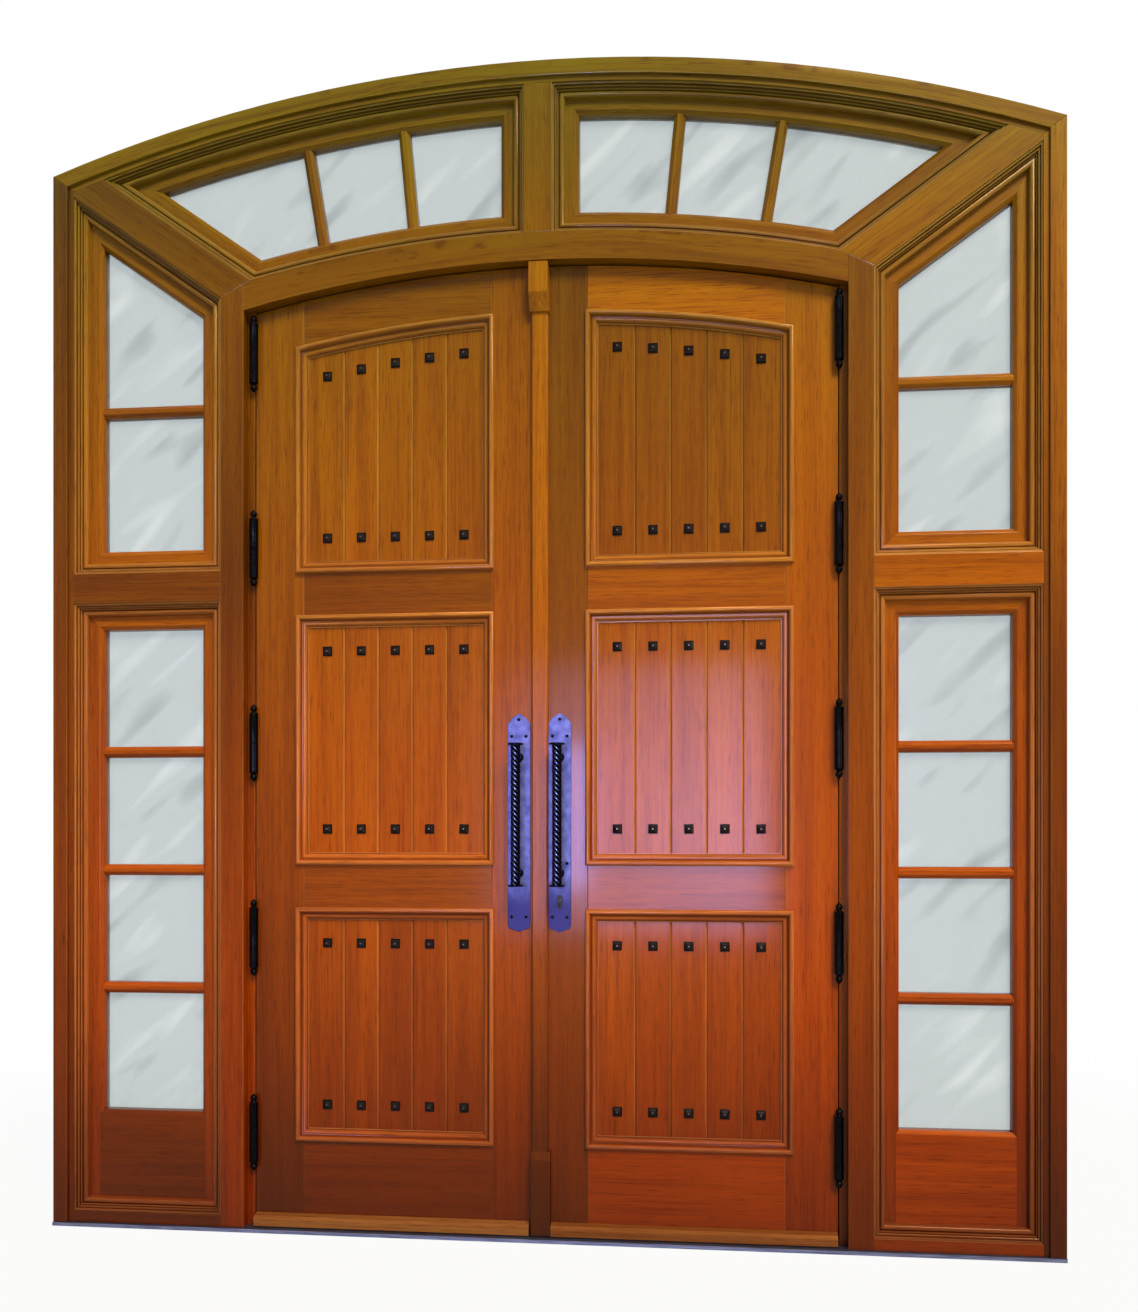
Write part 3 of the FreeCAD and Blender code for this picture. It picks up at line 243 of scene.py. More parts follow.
# Aged brass of the keyhole rims, rubbed steel of the bolts, oiled steel in the lock, aluminium of the sill
metals = {
    "agedBrass": {"dark": "#100F10", "light": "#2C2924", "roughness": 0.38, "brush": 0.5},
    "brushedSteel": {"dark": "#7C7E80", "light": "#B9BBBC", "roughness": 0.34, "brush": 0.4},
    "oiledSteel": {"dark": "#141516", "light": "#2A2B2D", "roughness": 0.4, "brush": 0.4},
    "millAluminium": {"dark": "#484A5C", "light": "#7A7D92", "roughness": 0.45, "brush": 1.2},
}


def makeMetal(name):
    finish = metals[name]
    material, tree = newMaterial(name)
    place = addNode(tree, "TexCoord").outputs["Object"]
    brush = 1000 / finish["brush"]
    scale = (brush / 60, brush, brush)  # a brushed line is sixty times as long as it is wide
    mapping = addNode(tree, "Mapping", {"Vector": place, "Scale": scale})
    lines = addNode(tree, "TexNoise", {"Vector": mapping, "Scale": 1.0, "Detail": 3.0})
    tone = addNode(tree, "ValToRGB", {"Fac": lines}, [(0.35, finish["dark"]), (0.65, finish["light"])])
    bump = addNode(tree, "Bump", {"Strength": 0.25, "Distance": 0.05 * mm, "Height": lines})
    surface = addNode(tree, "BsdfPrincipled", {
        "Base Color": tone, "Metallic": 1.0, "Roughness": finish["roughness"], "Normal": bump})
    addNode(tree, "OutputMaterial", {"Surface": surface})
    return material


# Float glass, pale and cool, with painted reflections: short slanting streaks, darker and paler, here and
# there
pane = {"clear": "#CAD4D6", "paintedStreak": "#B2BCBF", "paintedBrightStreak": "#DAE3E5", "streakWidth": 75.0, "streakLength": 330.0,
        "lean": -47.0}


def makePane():
    material, tree = newMaterial("floatGlassPaintedStreaks")
    place = addNode(tree, "TexCoord").outputs["Object"]
    turned = addNode(tree, "Mapping", {"Vector": place, "Rotation": (0, math.radians(pane["lean"]), 0)})
    scale = (1000 / pane["streakWidth"], 1.0, 1000 / pane["streakLength"])
    mapping = addNode(tree, "Mapping", {"Vector": turned, "Scale": scale})
    paintedStreak = addNode(tree, "TexNoise", {
        "Vector": mapping, "Scale": 1.0, "Detail": 1.5, "Roughness": 0.4, "Distortion": 0.3})
    tone = addNode(tree, "ValToRGB", {"Fac": paintedStreak}, [
        (0.28, pane["paintedStreak"]), (0.42, pane["clear"]), (0.58, pane["clear"]), (0.74, pane["paintedBrightStreak"])])
    surface = addNode(tree, "BsdfPrincipled", {
        "Base Color": tone, "Roughness": 0.2, "IOR": 1.45, "Transmission Weight": 0.8,
        "Specular IOR Level": 0.3})
    addNode(tree, "OutputMaterial", {"Surface": surface})
    return material


wood = makeMahogany("varnishedMahogany", "grain", mahogany["colours"])
barWood = makeMahogany("weatheredMahogany", "grain", weathered)
levelWood = makeMahogany("varnishedMahoganyLevel", "level", mahogany["colours"])
blackIron = makeIron("blackenedIron")
gripIron = makeIron("waxedNavyIron")
plateIron = makeIron("heatBluedIron")
brass = makeMetal("agedBrass")
steel = makeMetal("brushedSteel")
darkSteel = makeMetal("oiledSteel")
aluminium = makeMetal("millAluminium")
glass = makePane()
print("materials made:", len(bpy.data.materials))


def deselect():
    bpy.ops.object.select_all(action="DESELECT")


def only(piece):
    deselect()
    piece.select_set(True)
    bpy.context.view_layer.objects.active = piece


def edit(piece, kind="FACE"):
    only(piece)
    bpy.ops.object.mode_set(mode="EDIT")
    bpy.ops.mesh.select_mode(type=kind)


def leave():
    bpy.ops.object.mode_set(mode="OBJECT")


def selectAll():
    bpy.ops.mesh.select_all(action="SELECT")


def faceNormals(inside=False):
    selectAll()
    bpy.ops.mesh.normals_make_consistent(inside=inside)


def extrude(*shift):
    bpy.ops.mesh.extrude_region_move(TRANSFORM_OT_translate={"value": shift})


def pick(piece, kind, test):
    # Selects the vertices, edges or faces of the mesh in edit mode that pass the test
    data = bmesh.from_edit_mesh(piece.data)
    for part in list(data.verts) + list(data.edges) + list(data.faces):
        part.select = False
    found = [part for part in getattr(data, kind) if test(part)]
    for part in found:
        part.select_set(True)
    bmesh.update_edit_mesh(piece.data)
    return len(found)


def middle(edge):
    return (edge.verts[0].co + edge.verts[1].co) / 2


def settle(piece):
    # The piece's place goes into its mesh, as a CAD node's does
    only(piece)
    bpy.ops.object.transform_apply(location=True, rotation=True, scale=True)


def smooth(piece, degrees=34):
    only(piece)
    bpy.ops.object.shade_smooth_by_angle(angle=math.radians(degrees))


def nameActive(name):
    piece = bpy.context.active_object
    piece.name = piece.data.name = name
    return piece


def join(pieces, name):
    deselect()
    for piece in pieces:
        piece.select_set(True)
    bpy.context.view_layer.objects.active = pieces[0]
    if len(pieces) > 1:
        bpy.ops.object.join()
    return nameActive(name)


def behindFace(depth):
    return depth - joinery["halfDepth"]


def addBlock(name, low, high):
    # A cube drawn out between its lower and upper corner
    deselect()
    bpy.ops.mesh.primitive_cube_add(
        size=1, location=[(a + b) / 2 * mm for a, b in zip(low, high)],
        scale=[(b - a) * mm for a, b in zip(low, high)])
    block = nameActive(name)
    settle(block)
    return block


# Outlines: sides run bottom, right, top, left, and an arc has its centre on x = 0
def arcHeight(centre, radius, x):
    return centre + math.sqrt(radius * radius - x * x)


def side(start, end, centre=None, radius=None):
    # The shift gives each member its own part of the wood
    shift = Vector((random.uniform(2, 40), random.uniform(2, 40), random.uniform(2, 40)))
    return {"start": start, "end": end, "centre": centre, "radius": radius, "shift": shift}


def closedOutline(corners, arcs=((), (), (), ())):
    # Sides from corner to corner, each with its arc's centre and radius, or straight
    return [side(a, b, *arc) for a, b, arc in zip(corners, corners[1:] + corners[:1], arcs)]


def fourSides(left, right, low, high, arc=()):
    leftTop, rightTop = (arcHeight(*arc, x) if arc else high for x in (left, right))
    corners = [(left, low), (right, low), (right, rightTop), (left, leftTop)]
    return closedOutline(corners, ((), (), arc, ()))


def mirrored(point):
    return -point[0], point[1]


def onSide(outline, way):
    # The outline itself, or the same outline across x = 0, in the same order
    if way > 0:
        return outline
    bottom, right, top, left = outline
    return [side(mirrored(part["end"]), mirrored(part["start"]), part["centre"], part["radius"])
            for part in (bottom, left, top, right)]


def grainAt(part, point):
    # (across, through, along) for a point on a piece whose grain follows that side
    x, z = point.x / mm, point.z / mm
    if part["radius"]:
        reach = math.hypot(x, z - part["centre"])
        around = math.atan2(x, z - part["centre"]) * part["radius"]
        return abs(reach - part["radius"]), Vector((reach * mm, point.y, around * mm)) + part["shift"]
    (startX, startZ), (endX, endZ) = part["start"], part["end"]
    dx, dz = endX - startX, endZ - startZ
    length = math.hypot(dx, dz)
    along = ((x - startX) * dx + (z - startZ) * dz) / length
    across = ((x - startX) * dz - (z - startZ) * dx) / length
    return abs(across), Vector((across * mm, point.y, along * mm)) + part["shift"]


def layGrain(piece, sides, tone, choose=None):
    # Each face takes its grain from the nearest side, so the grain turns at the mitres.
    # The tone is a number, or a function of the place.
    data = piece.data
    for name, kind in (("grain", "FLOAT_VECTOR"), ("tone", "FLOAT"), ("highlightShare", "FLOAT")):
        data.attributes.new(name, kind, "CORNER")
    grain, tones = data.attributes["grain"], data.attributes["tone"]
    for face in data.polygons:
        near = choose(face.center) if choose else min(sides, key=lambda part: grainAt(part, face.center)[0])
        for corner in face.loop_indices:
            point = data.vertices[data.loops[corner].vertex_index].co
            grain.data[corner].vector = grainAt(near, point)[1]
            tones.data[corner].value = tone(point) if callable(tone) else tone


def rising(foot, head):
    return lambda point: foot + (head - foot) * point.z / mahogany["height"]


def waisted(foot, waist, head, turn):
    # Paler towards both ends, and darkest at the height turn
    def tone(point):
        if point.z < turn:
            return foot + (waist - foot) * point.z / turn
        return waist + (head - waist) * (point.z - turn) / (mahogany["height"] - turn)
    return tone


def eachSide(left, right):
    return lambda point: left if point.x < 0 else right


def paintArrisHighlights(piece, width, share):
    # Painted highlight on an arris: the faces narrower than width turn paler
    data = piece.data
    for face in data.polygons:
        points = [data.vertices[index].co for index in face.vertices]
        around = sum((a - b).length for a, b in zip(points, points[1:] + points[:1]))
        if 2 * face.area / around < width * mm:
            for corner in face.loop_indices:
                data.attributes["highlightShare"].data[corner].value = share


def paintMouldingShadeAndHighlight(piece, hollowShade=2.0, deepestShade=0.35):
    # Painted shade darkens the quirks of a moulding, and a painted highlight pales its crests
    form = bmesh.new()
    form.from_mesh(piece.data)
    bends = []
    for point in form.verts:
        runs = [e for e in point.link_edges if len(e.link_faces) == 2 and e.calc_length() > 20 * mm]
        bends.append(sum(e.calc_face_angle_signed(0) for e in runs) / len(runs) if runs else 0)
    form.free()
    tones, highlightShares = piece.data.attributes["tone"].data, piece.data.attributes["highlightShare"].data
    for corner in piece.data.loops:
        bend = bends[corner.vertex_index]
        highlightShares[corner.index].value = min(1.0, max(0.0, bend))
        tones[corner.index].value *= min(1.0, max(deepestShade, 1 + bend * hollowShade))


def bendSide(piece, part, cuts):
    # The side is cut up and its corners are lifted on to the arc, one at a time
    def place(x, z):
        return round(x, 2), round(z, 2)
    ends = {place(*part["start"]), place(*part["end"])}
    bpy.ops.mesh.select_mode(type="EDGE")
    pick(piece, "edges", lambda e: {place(v.co.x / mm, v.co.z / mm) for v in e.verts} == ends)
    bpy.ops.mesh.subdivide(number_cuts=cuts)
    bpy.ops.mesh.select_mode(type="VERT")
    form = bmesh.from_edit_mesh(piece.data)
    chosen = [v.index for v in form.verts if v.select]
    for index in chosen:
        form = bmesh.from_edit_mesh(piece.data)
        form.verts.ensure_lookup_table()
        spot = form.verts[index].co.copy()
        lift = arcHeight(part["centre"], part["radius"], spot.x / mm) * mm - spot.z
        pick(piece, "verts", lambda v: v.index == index)
        bpy.ops.transform.translate(value=(0, 0, lift))


def outlineFace(name, outline, depth, facing=1, cuts=15):
    # A flat face with the outline's shape, looking forwards or backwards
    y = behindFace(depth) * mm
    deselect()
    bpy.ops.mesh.primitive_plane_add(size=2, rotation=(math.radians(90 * facing), 0, 0))
    piece = nameActive(name)
    settle(piece)
    edit(piece, "VERT")
    aside = 7  # metres back, where a moved corner isn't taken for one still to move
    for (sx, sz), part in zip([(-1, -1), (1, -1), (1, 1), (-1, 1)], outline):
        x, z = part["start"]
        pick(piece, "verts", lambda v: (v.co - Vector((sx, 0, sz))).length < 0.01)
        bpy.ops.transform.translate(value=(x * mm - sx, y + aside, z * mm - sz))
    selectAll()
    bpy.ops.transform.translate(value=(0, -aside, 0))
    for part in outline:
        if part["radius"]:
            bendSide(piece, part, cuts)
    leave()
    return piece


def mouldedRing(name, outline, profile, facing=1, cuts=15, tone=1.0):
    # A mitred ring: the outline's face is inset and raised one step of the profile at a time
    inset, depth = profile[0]
    piece = outlineFace(name, outline, depth, facing, cuts)
    edit(piece)
    selectAll()
    for nextInset, nextDepth in profile[1:]:
        out = (depth - nextDepth) * facing * mm
        if nextInset - inset > 0.02:
            bpy.ops.mesh.inset(thickness=(nextInset - inset) * mm, depth=out, use_even_offset=True)
        else:
            extrude(0, -out * facing, 0)
        inset, depth = nextInset, nextDepth
    bpy.ops.mesh.delete(type="FACE")
    back = behindFace(profile[0][1]) * mm  # an extruded first step leaves its face behind
    if pick(piece, "faces", lambda f: abs(f.calc_center_median().y - back) < 1e-6 and f.calc_area() > 0.1):
        bpy.ops.mesh.delete(type="FACE")
    bpy.ops.mesh.select_mode(type="EDGE")
    pick(piece, "edges", lambda e: e.is_boundary)
    bpy.ops.mesh.bridge_edge_loops()
    faceNormals()
    leave()
    layGrain(piece, outline, tone)
    # painted shade in the quirks and painted highlight on the crests
    paintMouldingShadeAndHighlight(piece)
    smooth(piece)
    return piece


def easedCopy(node, name, arris, curve=2):
    # A node's own form, its loose triangles merged, its flats made whole and its outer arrises planed off
    only(nodes[node])
    bpy.ops.object.duplicate()
    piece = nameActive(name)
    piece.parent = None
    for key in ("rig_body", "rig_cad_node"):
        if key in piece:
            del piece[key]
    edit(piece)
    selectAll()
    bpy.ops.mesh.remove_doubles(threshold=0.02 * mm)
    bpy.ops.mesh.dissolve_limited(angle_limit=math.radians(0.6))
    bpy.ops.mesh.select_mode(type="EDGE")

    def isArris(e):
        whole = len(e.link_faces) == 2 and e.is_convex and e.calc_length() > 3 * arris * mm
        return whole and e.calc_face_angle(0) > math.radians(35)
    if pick(piece, "edges", isArris):
        bpy.ops.mesh.bevel(offset=arris * mm, segments=1, clamp_overlap=True, miter_outer="ARC")
    leave()
    smooth(piece, curve)
    return piece


def finishPiece(piece, body, material, replaced):
    piece.data.materials.clear()
    piece.data.materials.append(material)
    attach(piece, body)
    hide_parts(*replaced)


random.seed(8)

# The openings that the rails leave in a leaf, from the lowest up. The top one follows the arched rail.
openings = {"left": 133.0, "right": 667.0, "low": (271.0, 1043.0, 1858.0), "high": (880.0, 1697.0, None)}

# Panel mouldings of the leaves: a torus outside, falling through a hollow and a small round to the boards
panelMoulding = {
    "width": 34.0,
    "inside": 12.0,  # from the edge of the opening, at the arched top
    "front": [
        (0, 40), (0, 27.0), (0.8, 24.2), (2.6, 22.2), (5.2, 21.2), (8.0, 21.1), (10.4, 22.2), (12.6, 25.0),
        (14.2, 28.4), (15.8, 31.2), (17.6, 32.4), (19.8, 32.7), (22.2, 32.8), (24.4, 33.3), (26.6, 34.6),
        (28.6, 36.6), (30.0, 38.8), (30.8, 40.8), (33.9, 41.2), (34, 45),
    ],
    "back": [(0, 70), (0, 88), (8, 88), (10.5, 85.4), (11.6, 82), (12, 79), (12, 70)],
    "left": 160.5, "right": 655.5, "low": (283.0, 1055.0, 1870.0), "high": (868.0, 1685.0, None),
}


def panelOutline(edges, index, grow=0, inside=0):
    left, right = edges["left"] - grow, edges["right"] + grow
    low, high = edges["low"][index] - grow, edges["high"][index]
    if high:
        return fourSides(left, right, low, high + grow)
    centre, radius = joinery["panelTop"]
    return fourSides(left, right, low, None, (centre, radius - inside + grow))


for leaf, way in leaves:
    rings = []
    for i in range(len(openings["low"])):
        outer = panelOutline(panelMoulding, i, panelMoulding["width"], panelMoulding["inside"])
        inner = panelOutline(openings, i)
        outer, inner = onSide(outer, way), onSide(inner, way)
        rings.append(mouldedRing("ring", outer, panelMoulding["front"]))
        rings.append(mouldedRing("backRing", inner, panelMoulding["back"], -1))
    moulding = join(rings, leaf + "_panel_mouldings_run")
    finishPiece(moulding, leaf + "_leaf", wood, [leaf + "_panel_mouldings"])
print("panel mouldings run")

# V-jointed boards, five to a panel
boarding = {"pitch": 97.4, "centre": 408.0, "count": 5, "gap": 0.2, "vee": 3.4, "front": 45.0, "back": 70.0,
            "tallest": 2525.0,  # a top board before its end is cut to the arch
            "toneSpread": (0.93, 1.05),
            "tones": {"right": (0.78, 0.86, 0.66), "left": (0.72, 0.86, 0.80)}}  # from the lowest panel up


def makeBoard(left, right, low, high, arc, vees):
    # A cube drawn out to a board, its two long front arrises planed off where it meets another
    front = behindFace(boarding["front"])
    board = addBlock("board", (left + boarding["gap"] / 2, front, low),
                     (right - boarding["gap"] / 2, behindFace(boarding["back"]), high))
    if arc:
        zLeft, zRight = arcHeight(*arc, left), arcHeight(*arc, right)
        edit(board)
        selectAll()
        bpy.ops.mesh.bisect(
            plane_co=(left * mm, 0, zLeft * mm), plane_no=((zLeft - zRight) * mm, 0, (right - left) * mm),
            use_fill=True, clear_outer=True)
        leave()
    edit(board, "EDGE")

    def isVee(e):
        a, b = (v.co for v in e.verts)
        upright = abs(a.x - b.x) < 1e-5 and abs(a.z - b.z) > 0.1
        if not upright or abs(middle(e).y - front * mm) > 1e-5:
            return False
        return vees[0] if middle(e).x < (left + right) / 2 * mm else vees[1]
    pick(board, "edges", isVee)
    bpy.ops.mesh.bevel(offset=boarding["vee"] * mm, segments=1)
    leave()
    return board


joints = [boarding["centre"] + (k - boarding["count"] / 2) * boarding["pitch"]
          for k in range(1, boarding["count"])]
edges = [openings["left"], *joints, openings["right"]]
for leaf, way in leaves:
    boards = []
    for low, high, panelTone in zip(openings["low"], openings["high"], boarding["tones"][leaf]):
        arc = None if high else joinery["panelTop"]
        for k in range(boarding["count"]):
            left, right = sorted((edges[k] * way, edges[k + 1] * way))
            vees = (k > 0, k < boarding["count"] - 1)
            board = makeBoard(left, right, low, high or boarding["tallest"], arc, vees[::way])
            tone = panelTone * random.uniform(*boarding["toneSpread"])
            layGrain(board, [side((left, 0), (left, 3000))], tone)
            # painted highlight on the V joints' chamfers
            paintArrisHighlights(board, 6.0, 0.6)
            boards.append(board)
    boards = join(boards, leaf + "_panel_boards")
    smooth(boards)
    finishPiece(boards, leaf + "_leaf", wood, [leaf + "_boards"])
print("boards laid")

# Fixed lights: mouldings round each opening, then the sashes
post, jamb, shoulder = joinery["postOuter"], joinery["jambInner"], joinery["shoulder"]
slope = math.radians(joinery["diagonal"])
rail = joinery["crossRailTop"]
lights = {
    "upper": closedOutline([(post, rail), (jamb, rail), (jamb, joinery["jambTop"]), joinery["postTop"]]),
    "lower": fourSides(post, jamb, joinery["baseRailTop"], joinery["crossRailBottom"]),
}


def slantMeetsArch():
    # Where the diagonal's upper edge reaches the inside of the arched head
    centre, radius = joinery["archInner"]
    x, z = shoulder
    step = 0.05
    while math.hypot(x, z - centre) < radius:
        x, z = x + step * math.cos(slope), z + step * math.sin(slope)
    return x, z


slantTop = slantMeetsArch()
half = joinery["centrePostHalf"]
postFoot, postHead = ((half, arcHeight(*joinery[arc], half)) for arc in ("railTop", "archInner"))
lights["transom"] = closedOutline(
    [postFoot, shoulder, slantTop, postHead], (joinery["railTop"], (), joinery["archInner"], ()))
reveal = [
    (0, 35), (0, 4), (3.6, 4), (4.6, 4.6), (5, 6), (5, 10), (9.8, 10), (10.8, 10.8), (11, 12), (11, 17),
    (14.4, 17.4), (15.4, 19.4), (16.6, 22.4), (17.4, 22.2), (18.6, 19.6), (20.4, 18.2), (23, 17.6),
    (26, 18.2), (28.6, 19.8), (30.8, 23.2), (32.2, 27.4), (33, 31), (33, 35),
]
revealTone = 0.8
for leaf, way in leaves:
    rings = [mouldedRing("reveal", onSide(lights[light], way), reveal, tone=revealTone)
             for light in ("upper", "lower")]
    finishPiece(join(rings, leaf + "_side_mouldings_run"), "frame", wood,
                [leaf + "_side_mouldings"])
rings = [mouldedRing("reveal", onSide(lights["transom"], way), reveal, cuts=13, tone=revealTone)
         for leaf, way in leaves]
finishPiece(join(rings, "transom_mouldings_run"), "frame", wood, ["transom_mouldings"])
print("frame mouldings run")

# Muntins: their heights in the sidelights, and in the transom their lean and reach from the arch's centre
muntins = {"upper": (2310.1,), "lower": (666.75, 1002.5, 1338.25), "lean": (5.44, 9.36),
           "reach": (3500, 4200), "halfWidth": 14, "tenon": 11}  # the tenon shows in the sash's sloping edge


def sashGrain(outline, bars):
    # Stiles and rails by the nearest side, muntins by their own line
    def choose(point):
        inner = min(grainAt(part, point)[0] for part in outline)
        if inner > joinery["sightWidth"] - muntins["tenon"]:
            nearBar = min(bars, key=lambda part: grainAt(part, point)[0])
            if inner > joinery["sightWidth"] + 0.5 or grainAt(nearBar, point)[0] < muntins["halfWidth"]:
                return nearBar
        return min(outline, key=lambda part: grainAt(part, point)[0])
    return choose


bars = {light: [side((post, z), (jamb, z)) for z in muntins[light]] for light in ("upper", "lower")}
bars["transom"] = []
for lean in muntins["lean"]:
    out, up = math.sin(math.radians(lean)), math.cos(math.radians(lean))
    foot, head = ((out * reach, joinery["archInner"][0] + up * reach) for reach in muntins["reach"])
    bars["transom"].append(side(foot, head))
for leaf, way in leaves:
    for light in ("upper", "lower", "transom"):
        outline, lines = onSide(lights[light], way), bars[light]
        if way < 0:
            lines = [side(mirrored(bar["start"]), mirrored(bar["end"])) for bar in lines]
        node = leaf + "_" + light + "_sash"
        sash = easedCopy(node, node + "_eased", arris=0.8)
        layGrain(sash, outline, 0.86, sashGrain(outline, lines))
        finishPiece(sash, "frame", wood, [node])
print("sashes eased")

# Stiles, rails, posts and the rest of the joinery: the solids' forms with their arrises taken off
upright = [side((0, 0), (0, 3000))]
level = [side((0, 0), (3000, 0))]
risingRight = [side(shoulder, slantTop)]
risingLeft = [side(mirrored(shoulder), mirrored(slantTop))]
astragalBlock = 2.5  # metres up, under the head block


def astragalTone(point):
    return 1.25 if point.z > astragalBlock else rising(0.26, 0.60)(point)


darkest = {"left_post": 1.85, "right_jamb": 1.5}  # metres up
# The tones are each member's own wood, and painted light and shade too: painted shade makes most left-hand
# members darker than their right-hand twins, painted light pales the right jamb towards its head, and a
# painted sheen pales the left post at its foot.
members = {  # each node's grain and tone
    "frame": {
        "left_jamb": (upright, 0.44),
        "right_jamb": (upright, waisted(0.30, 0.34, 1.5, darkest["right_jamb"])),
        "left_post": (upright, waisted(1.15, 0.34, 0.95, darkest["left_post"])),
        "right_post": (upright, 0.56), "centre_post": (upright, 0.76), "left_side_rails": (level, 0.44),
        "right_side_rails": (level, 1.0), "side_bottom_panels": (level, eachSide(0.46, 1.14)),
        "arch_head": ([side((-1386, 0), (1386, 0), *joinery["archInner"])], 0.86),
        "door_head_rail": ([side((-809, 0), (809, 0), *joinery["leafTop"])], 0.66),
        "right_diagonal_post": (risingRight, 0.84), "left_diagonal_post": (risingLeft, 0.54),
    },
    "right_leaf": {
        "right_hinge_stile": (upright, 1.06), "right_meeting_stile": (upright, 0.44),
        "right_top_rail": (level, 1.45), "right_middle_rails": (level, rising(0.46, 1.24)),
        "right_bottom_rail": (level, 1.22), "right_weather_bar": (level, 1.0),
        "astragal": (upright, astragalTone),
    },
    "left_leaf": {
        "left_hinge_stile": (upright, rising(0.40, 0.84)), "left_meeting_stile": (upright, rising(0.68, 1.0)),
        "left_top_rail": (level, 0.66), "left_middle_rails": (level, 0.52), "left_bottom_rail": (level, 0.58),
        "left_weather_bar": (level, 1.0),
    },
}
for body, nodesOfBody in members.items():
    for node, (lines, tone) in nodesOfBody.items():
        curved = any(line["radius"] for line in lines)
        member = easedCopy(node, node + "_eased", arris=1.1, curve=7 if curved else 2)
        if node in darkest:  # the tone turns at a row of corners
            edit(member)
            selectAll()
            bpy.ops.mesh.bisect(plane_co=(0, 0, darkest[node]), plane_no=(0, 0, 1))
            leave()
        lines = [side(line["start"], line["end"], line["centre"], line["radius"]) for line in lines]
        layGrain(member, lines, tone)
        # painted highlight along the arrises
        paintArrisHighlights(member, 2.0, 0.5)
        finishPiece(member, body, barWood if "weather" in node else wood, [node])
print("joinery eased")


def drawnLine(name, points):
    # A chain of edges through the points, drawn by extruding one corner
    deselect()
    bpy.ops.mesh.primitive_plane_add(size=mm)
    piece = nameActive(name)
    edit(piece, "VERT")
    selectAll()
    bpy.ops.mesh.merge(type="CENTER")
    last, *others = points
    bpy.ops.transform.translate(value=last)
    for point in others:
        extrude(*(point - last))
        last = point
    return piece


def turned(name, centre, axis, profile, steps=24):
    # A lathe: (radius, distance along the axis from the centre), all in millimetres
    centre, axis = Vector(centre) * mm, Vector(axis)
    out = Vector((1, 0, 0))
    piece = drawnLine(name, [centre + out * r * mm + axis * along * mm for r, along in profile])
    selectAll()
    bpy.ops.mesh.spin(steps=steps, angle=math.tau, center=centre, axis=axis)
    selectAll()
    bpy.ops.mesh.remove_doubles(threshold=0.01 * mm)
    faceNormals()
    leave()
    smooth(piece, 40)
    return piece


def copyOf(piece, shift, turn=None, centre=None, grow=1.0):
    # A copy with its own mesh, turned and grown about the centre, and moved by millimetres
    only(piece)
    bpy.ops.object.duplicate()
    made = bpy.context.active_object
    edit(made, "VERT")
    selectAll()
    if turn:
        bpy.ops.transform.rotate(value=math.radians(turn), orient_axis="Y", center_override=centre)
        bpy.ops.transform.resize(value=(grow, 1, grow), center_override=centre)
    bpy.ops.transform.translate(value=Vector(shift) * mm)
    leave()
    return made


# Clavos: square iron studs, forged to a blunt four-sided point, with a painted highlight at the point
clavo = {"size": 26.4, "front": 34.2, "back": 45.0, "rim": 2.6, "tip": 5.0,
         "filed": 0.35, "tipGlint": 0.7, "slopeGlint": 0.15, "turn": 2.0, "smallest": 0.96,
         "rows": (349.0, 802.0, 1121.0, 1619.0, 1936.0, None), "lastRow": (-864.0, 3309.0)}  # an arc


def paintGlintWhere(piece, amount):
    # How much painted highlight lies on the iron at each point
    data = piece.data
    paintedGlint = data.attributes.new("paintedGlint", "FLOAT", "POINT")
    for point in data.vertices:
        paintedGlint.data[point.index].value = amount(point.co)


def forgeClavo(x, z):
    back, half = behindFace(clavo["back"]), clavo["size"] / 2
    rim, tip = back - clavo["rim"], behindFace(clavo["front"])
    stud = addBlock("clavo", (x - half, rim, z - half), (x + half, back, z + half))
    edit(stud)
    pick(stud, "faces", lambda f: f.normal.y < -0.9)
    rise, reach = rim - tip, half - clavo["tip"] / 2
    slopes = (reach * 0.52, rise * 0.40), (reach * 0.48 - 0.9, rise * 0.60 - 0.9)  # the upper one is steeper
    for inset, lift in ((0.9, 0.5), *slopes, (0.6, 0.3)):
        bpy.ops.mesh.inset(thickness=inset * mm, depth=lift * mm)
    bpy.ops.mesh.select_mode(type="EDGE")
    pick(stud, "edges", lambda e: e.calc_length() > 20 * mm and middle(e).y > (rim - 0.1) * mm)
    bpy.ops.mesh.bevel(offset=clavo["filed"] * mm, segments=1)
    leave()

    def glintAt(point):
        # Painted highlight: bright at the blunt point, and a little on the slopes below it
        out = point.y / mm - tip
        return clavo["tipGlint"] if out < 0.2 else clavo["slopeGlint"] if out < rise * 0.7 else 0.0
    paintGlintWhere(stud, glintAt)
    smooth(stud, 12)
    return stud


studX, studZ = boarding["centre"] - 2 * boarding["pitch"], clavo["rows"][0]
master = forgeClavo(studX, studZ)
masterAt = Vector((studX, behindFace(clavo["back"]), studZ)) * mm
for leaf, way in leaves:
    studs = []
    for row in clavo["rows"]:
        for k in range(boarding["count"]):
            x = (studX + k * boarding["pitch"]) * way
            z = row or arcHeight(*clavo["lastRow"], x)
            turn = random.choice((0, 90, 180, 270)) + random.uniform(-clavo["turn"], clavo["turn"])
            grow = random.uniform(clavo["smallest"], 1.0)
            studs.append(copyOf(master, (x - studX, 0, z - studZ), turn, masterAt, grow))
    finishPiece(join(studs, leaf + "_clavos_forged"), leaf + "_leaf", blackIron,
                [leaf + "_clavos"])
bpy.data.objects.remove(master)
print("clavos forged")

# Back plates and keyhole rims with filed edges
for leaf, way in leaves:
    plate = easedCopy(leaf + "_pull_plate", leaf + "_pull_plate_filed", arris=1.3)
    finishPiece(plate, leaf + "_leaf", plateIron, [leaf + "_pull_plate"])
rims = easedCopy("keyhole_escutcheons", "keyhole_rims_filed", arris=0.5)
finishPiece(rims, "right_leaf", brass, ["keyhole_escutcheons"])

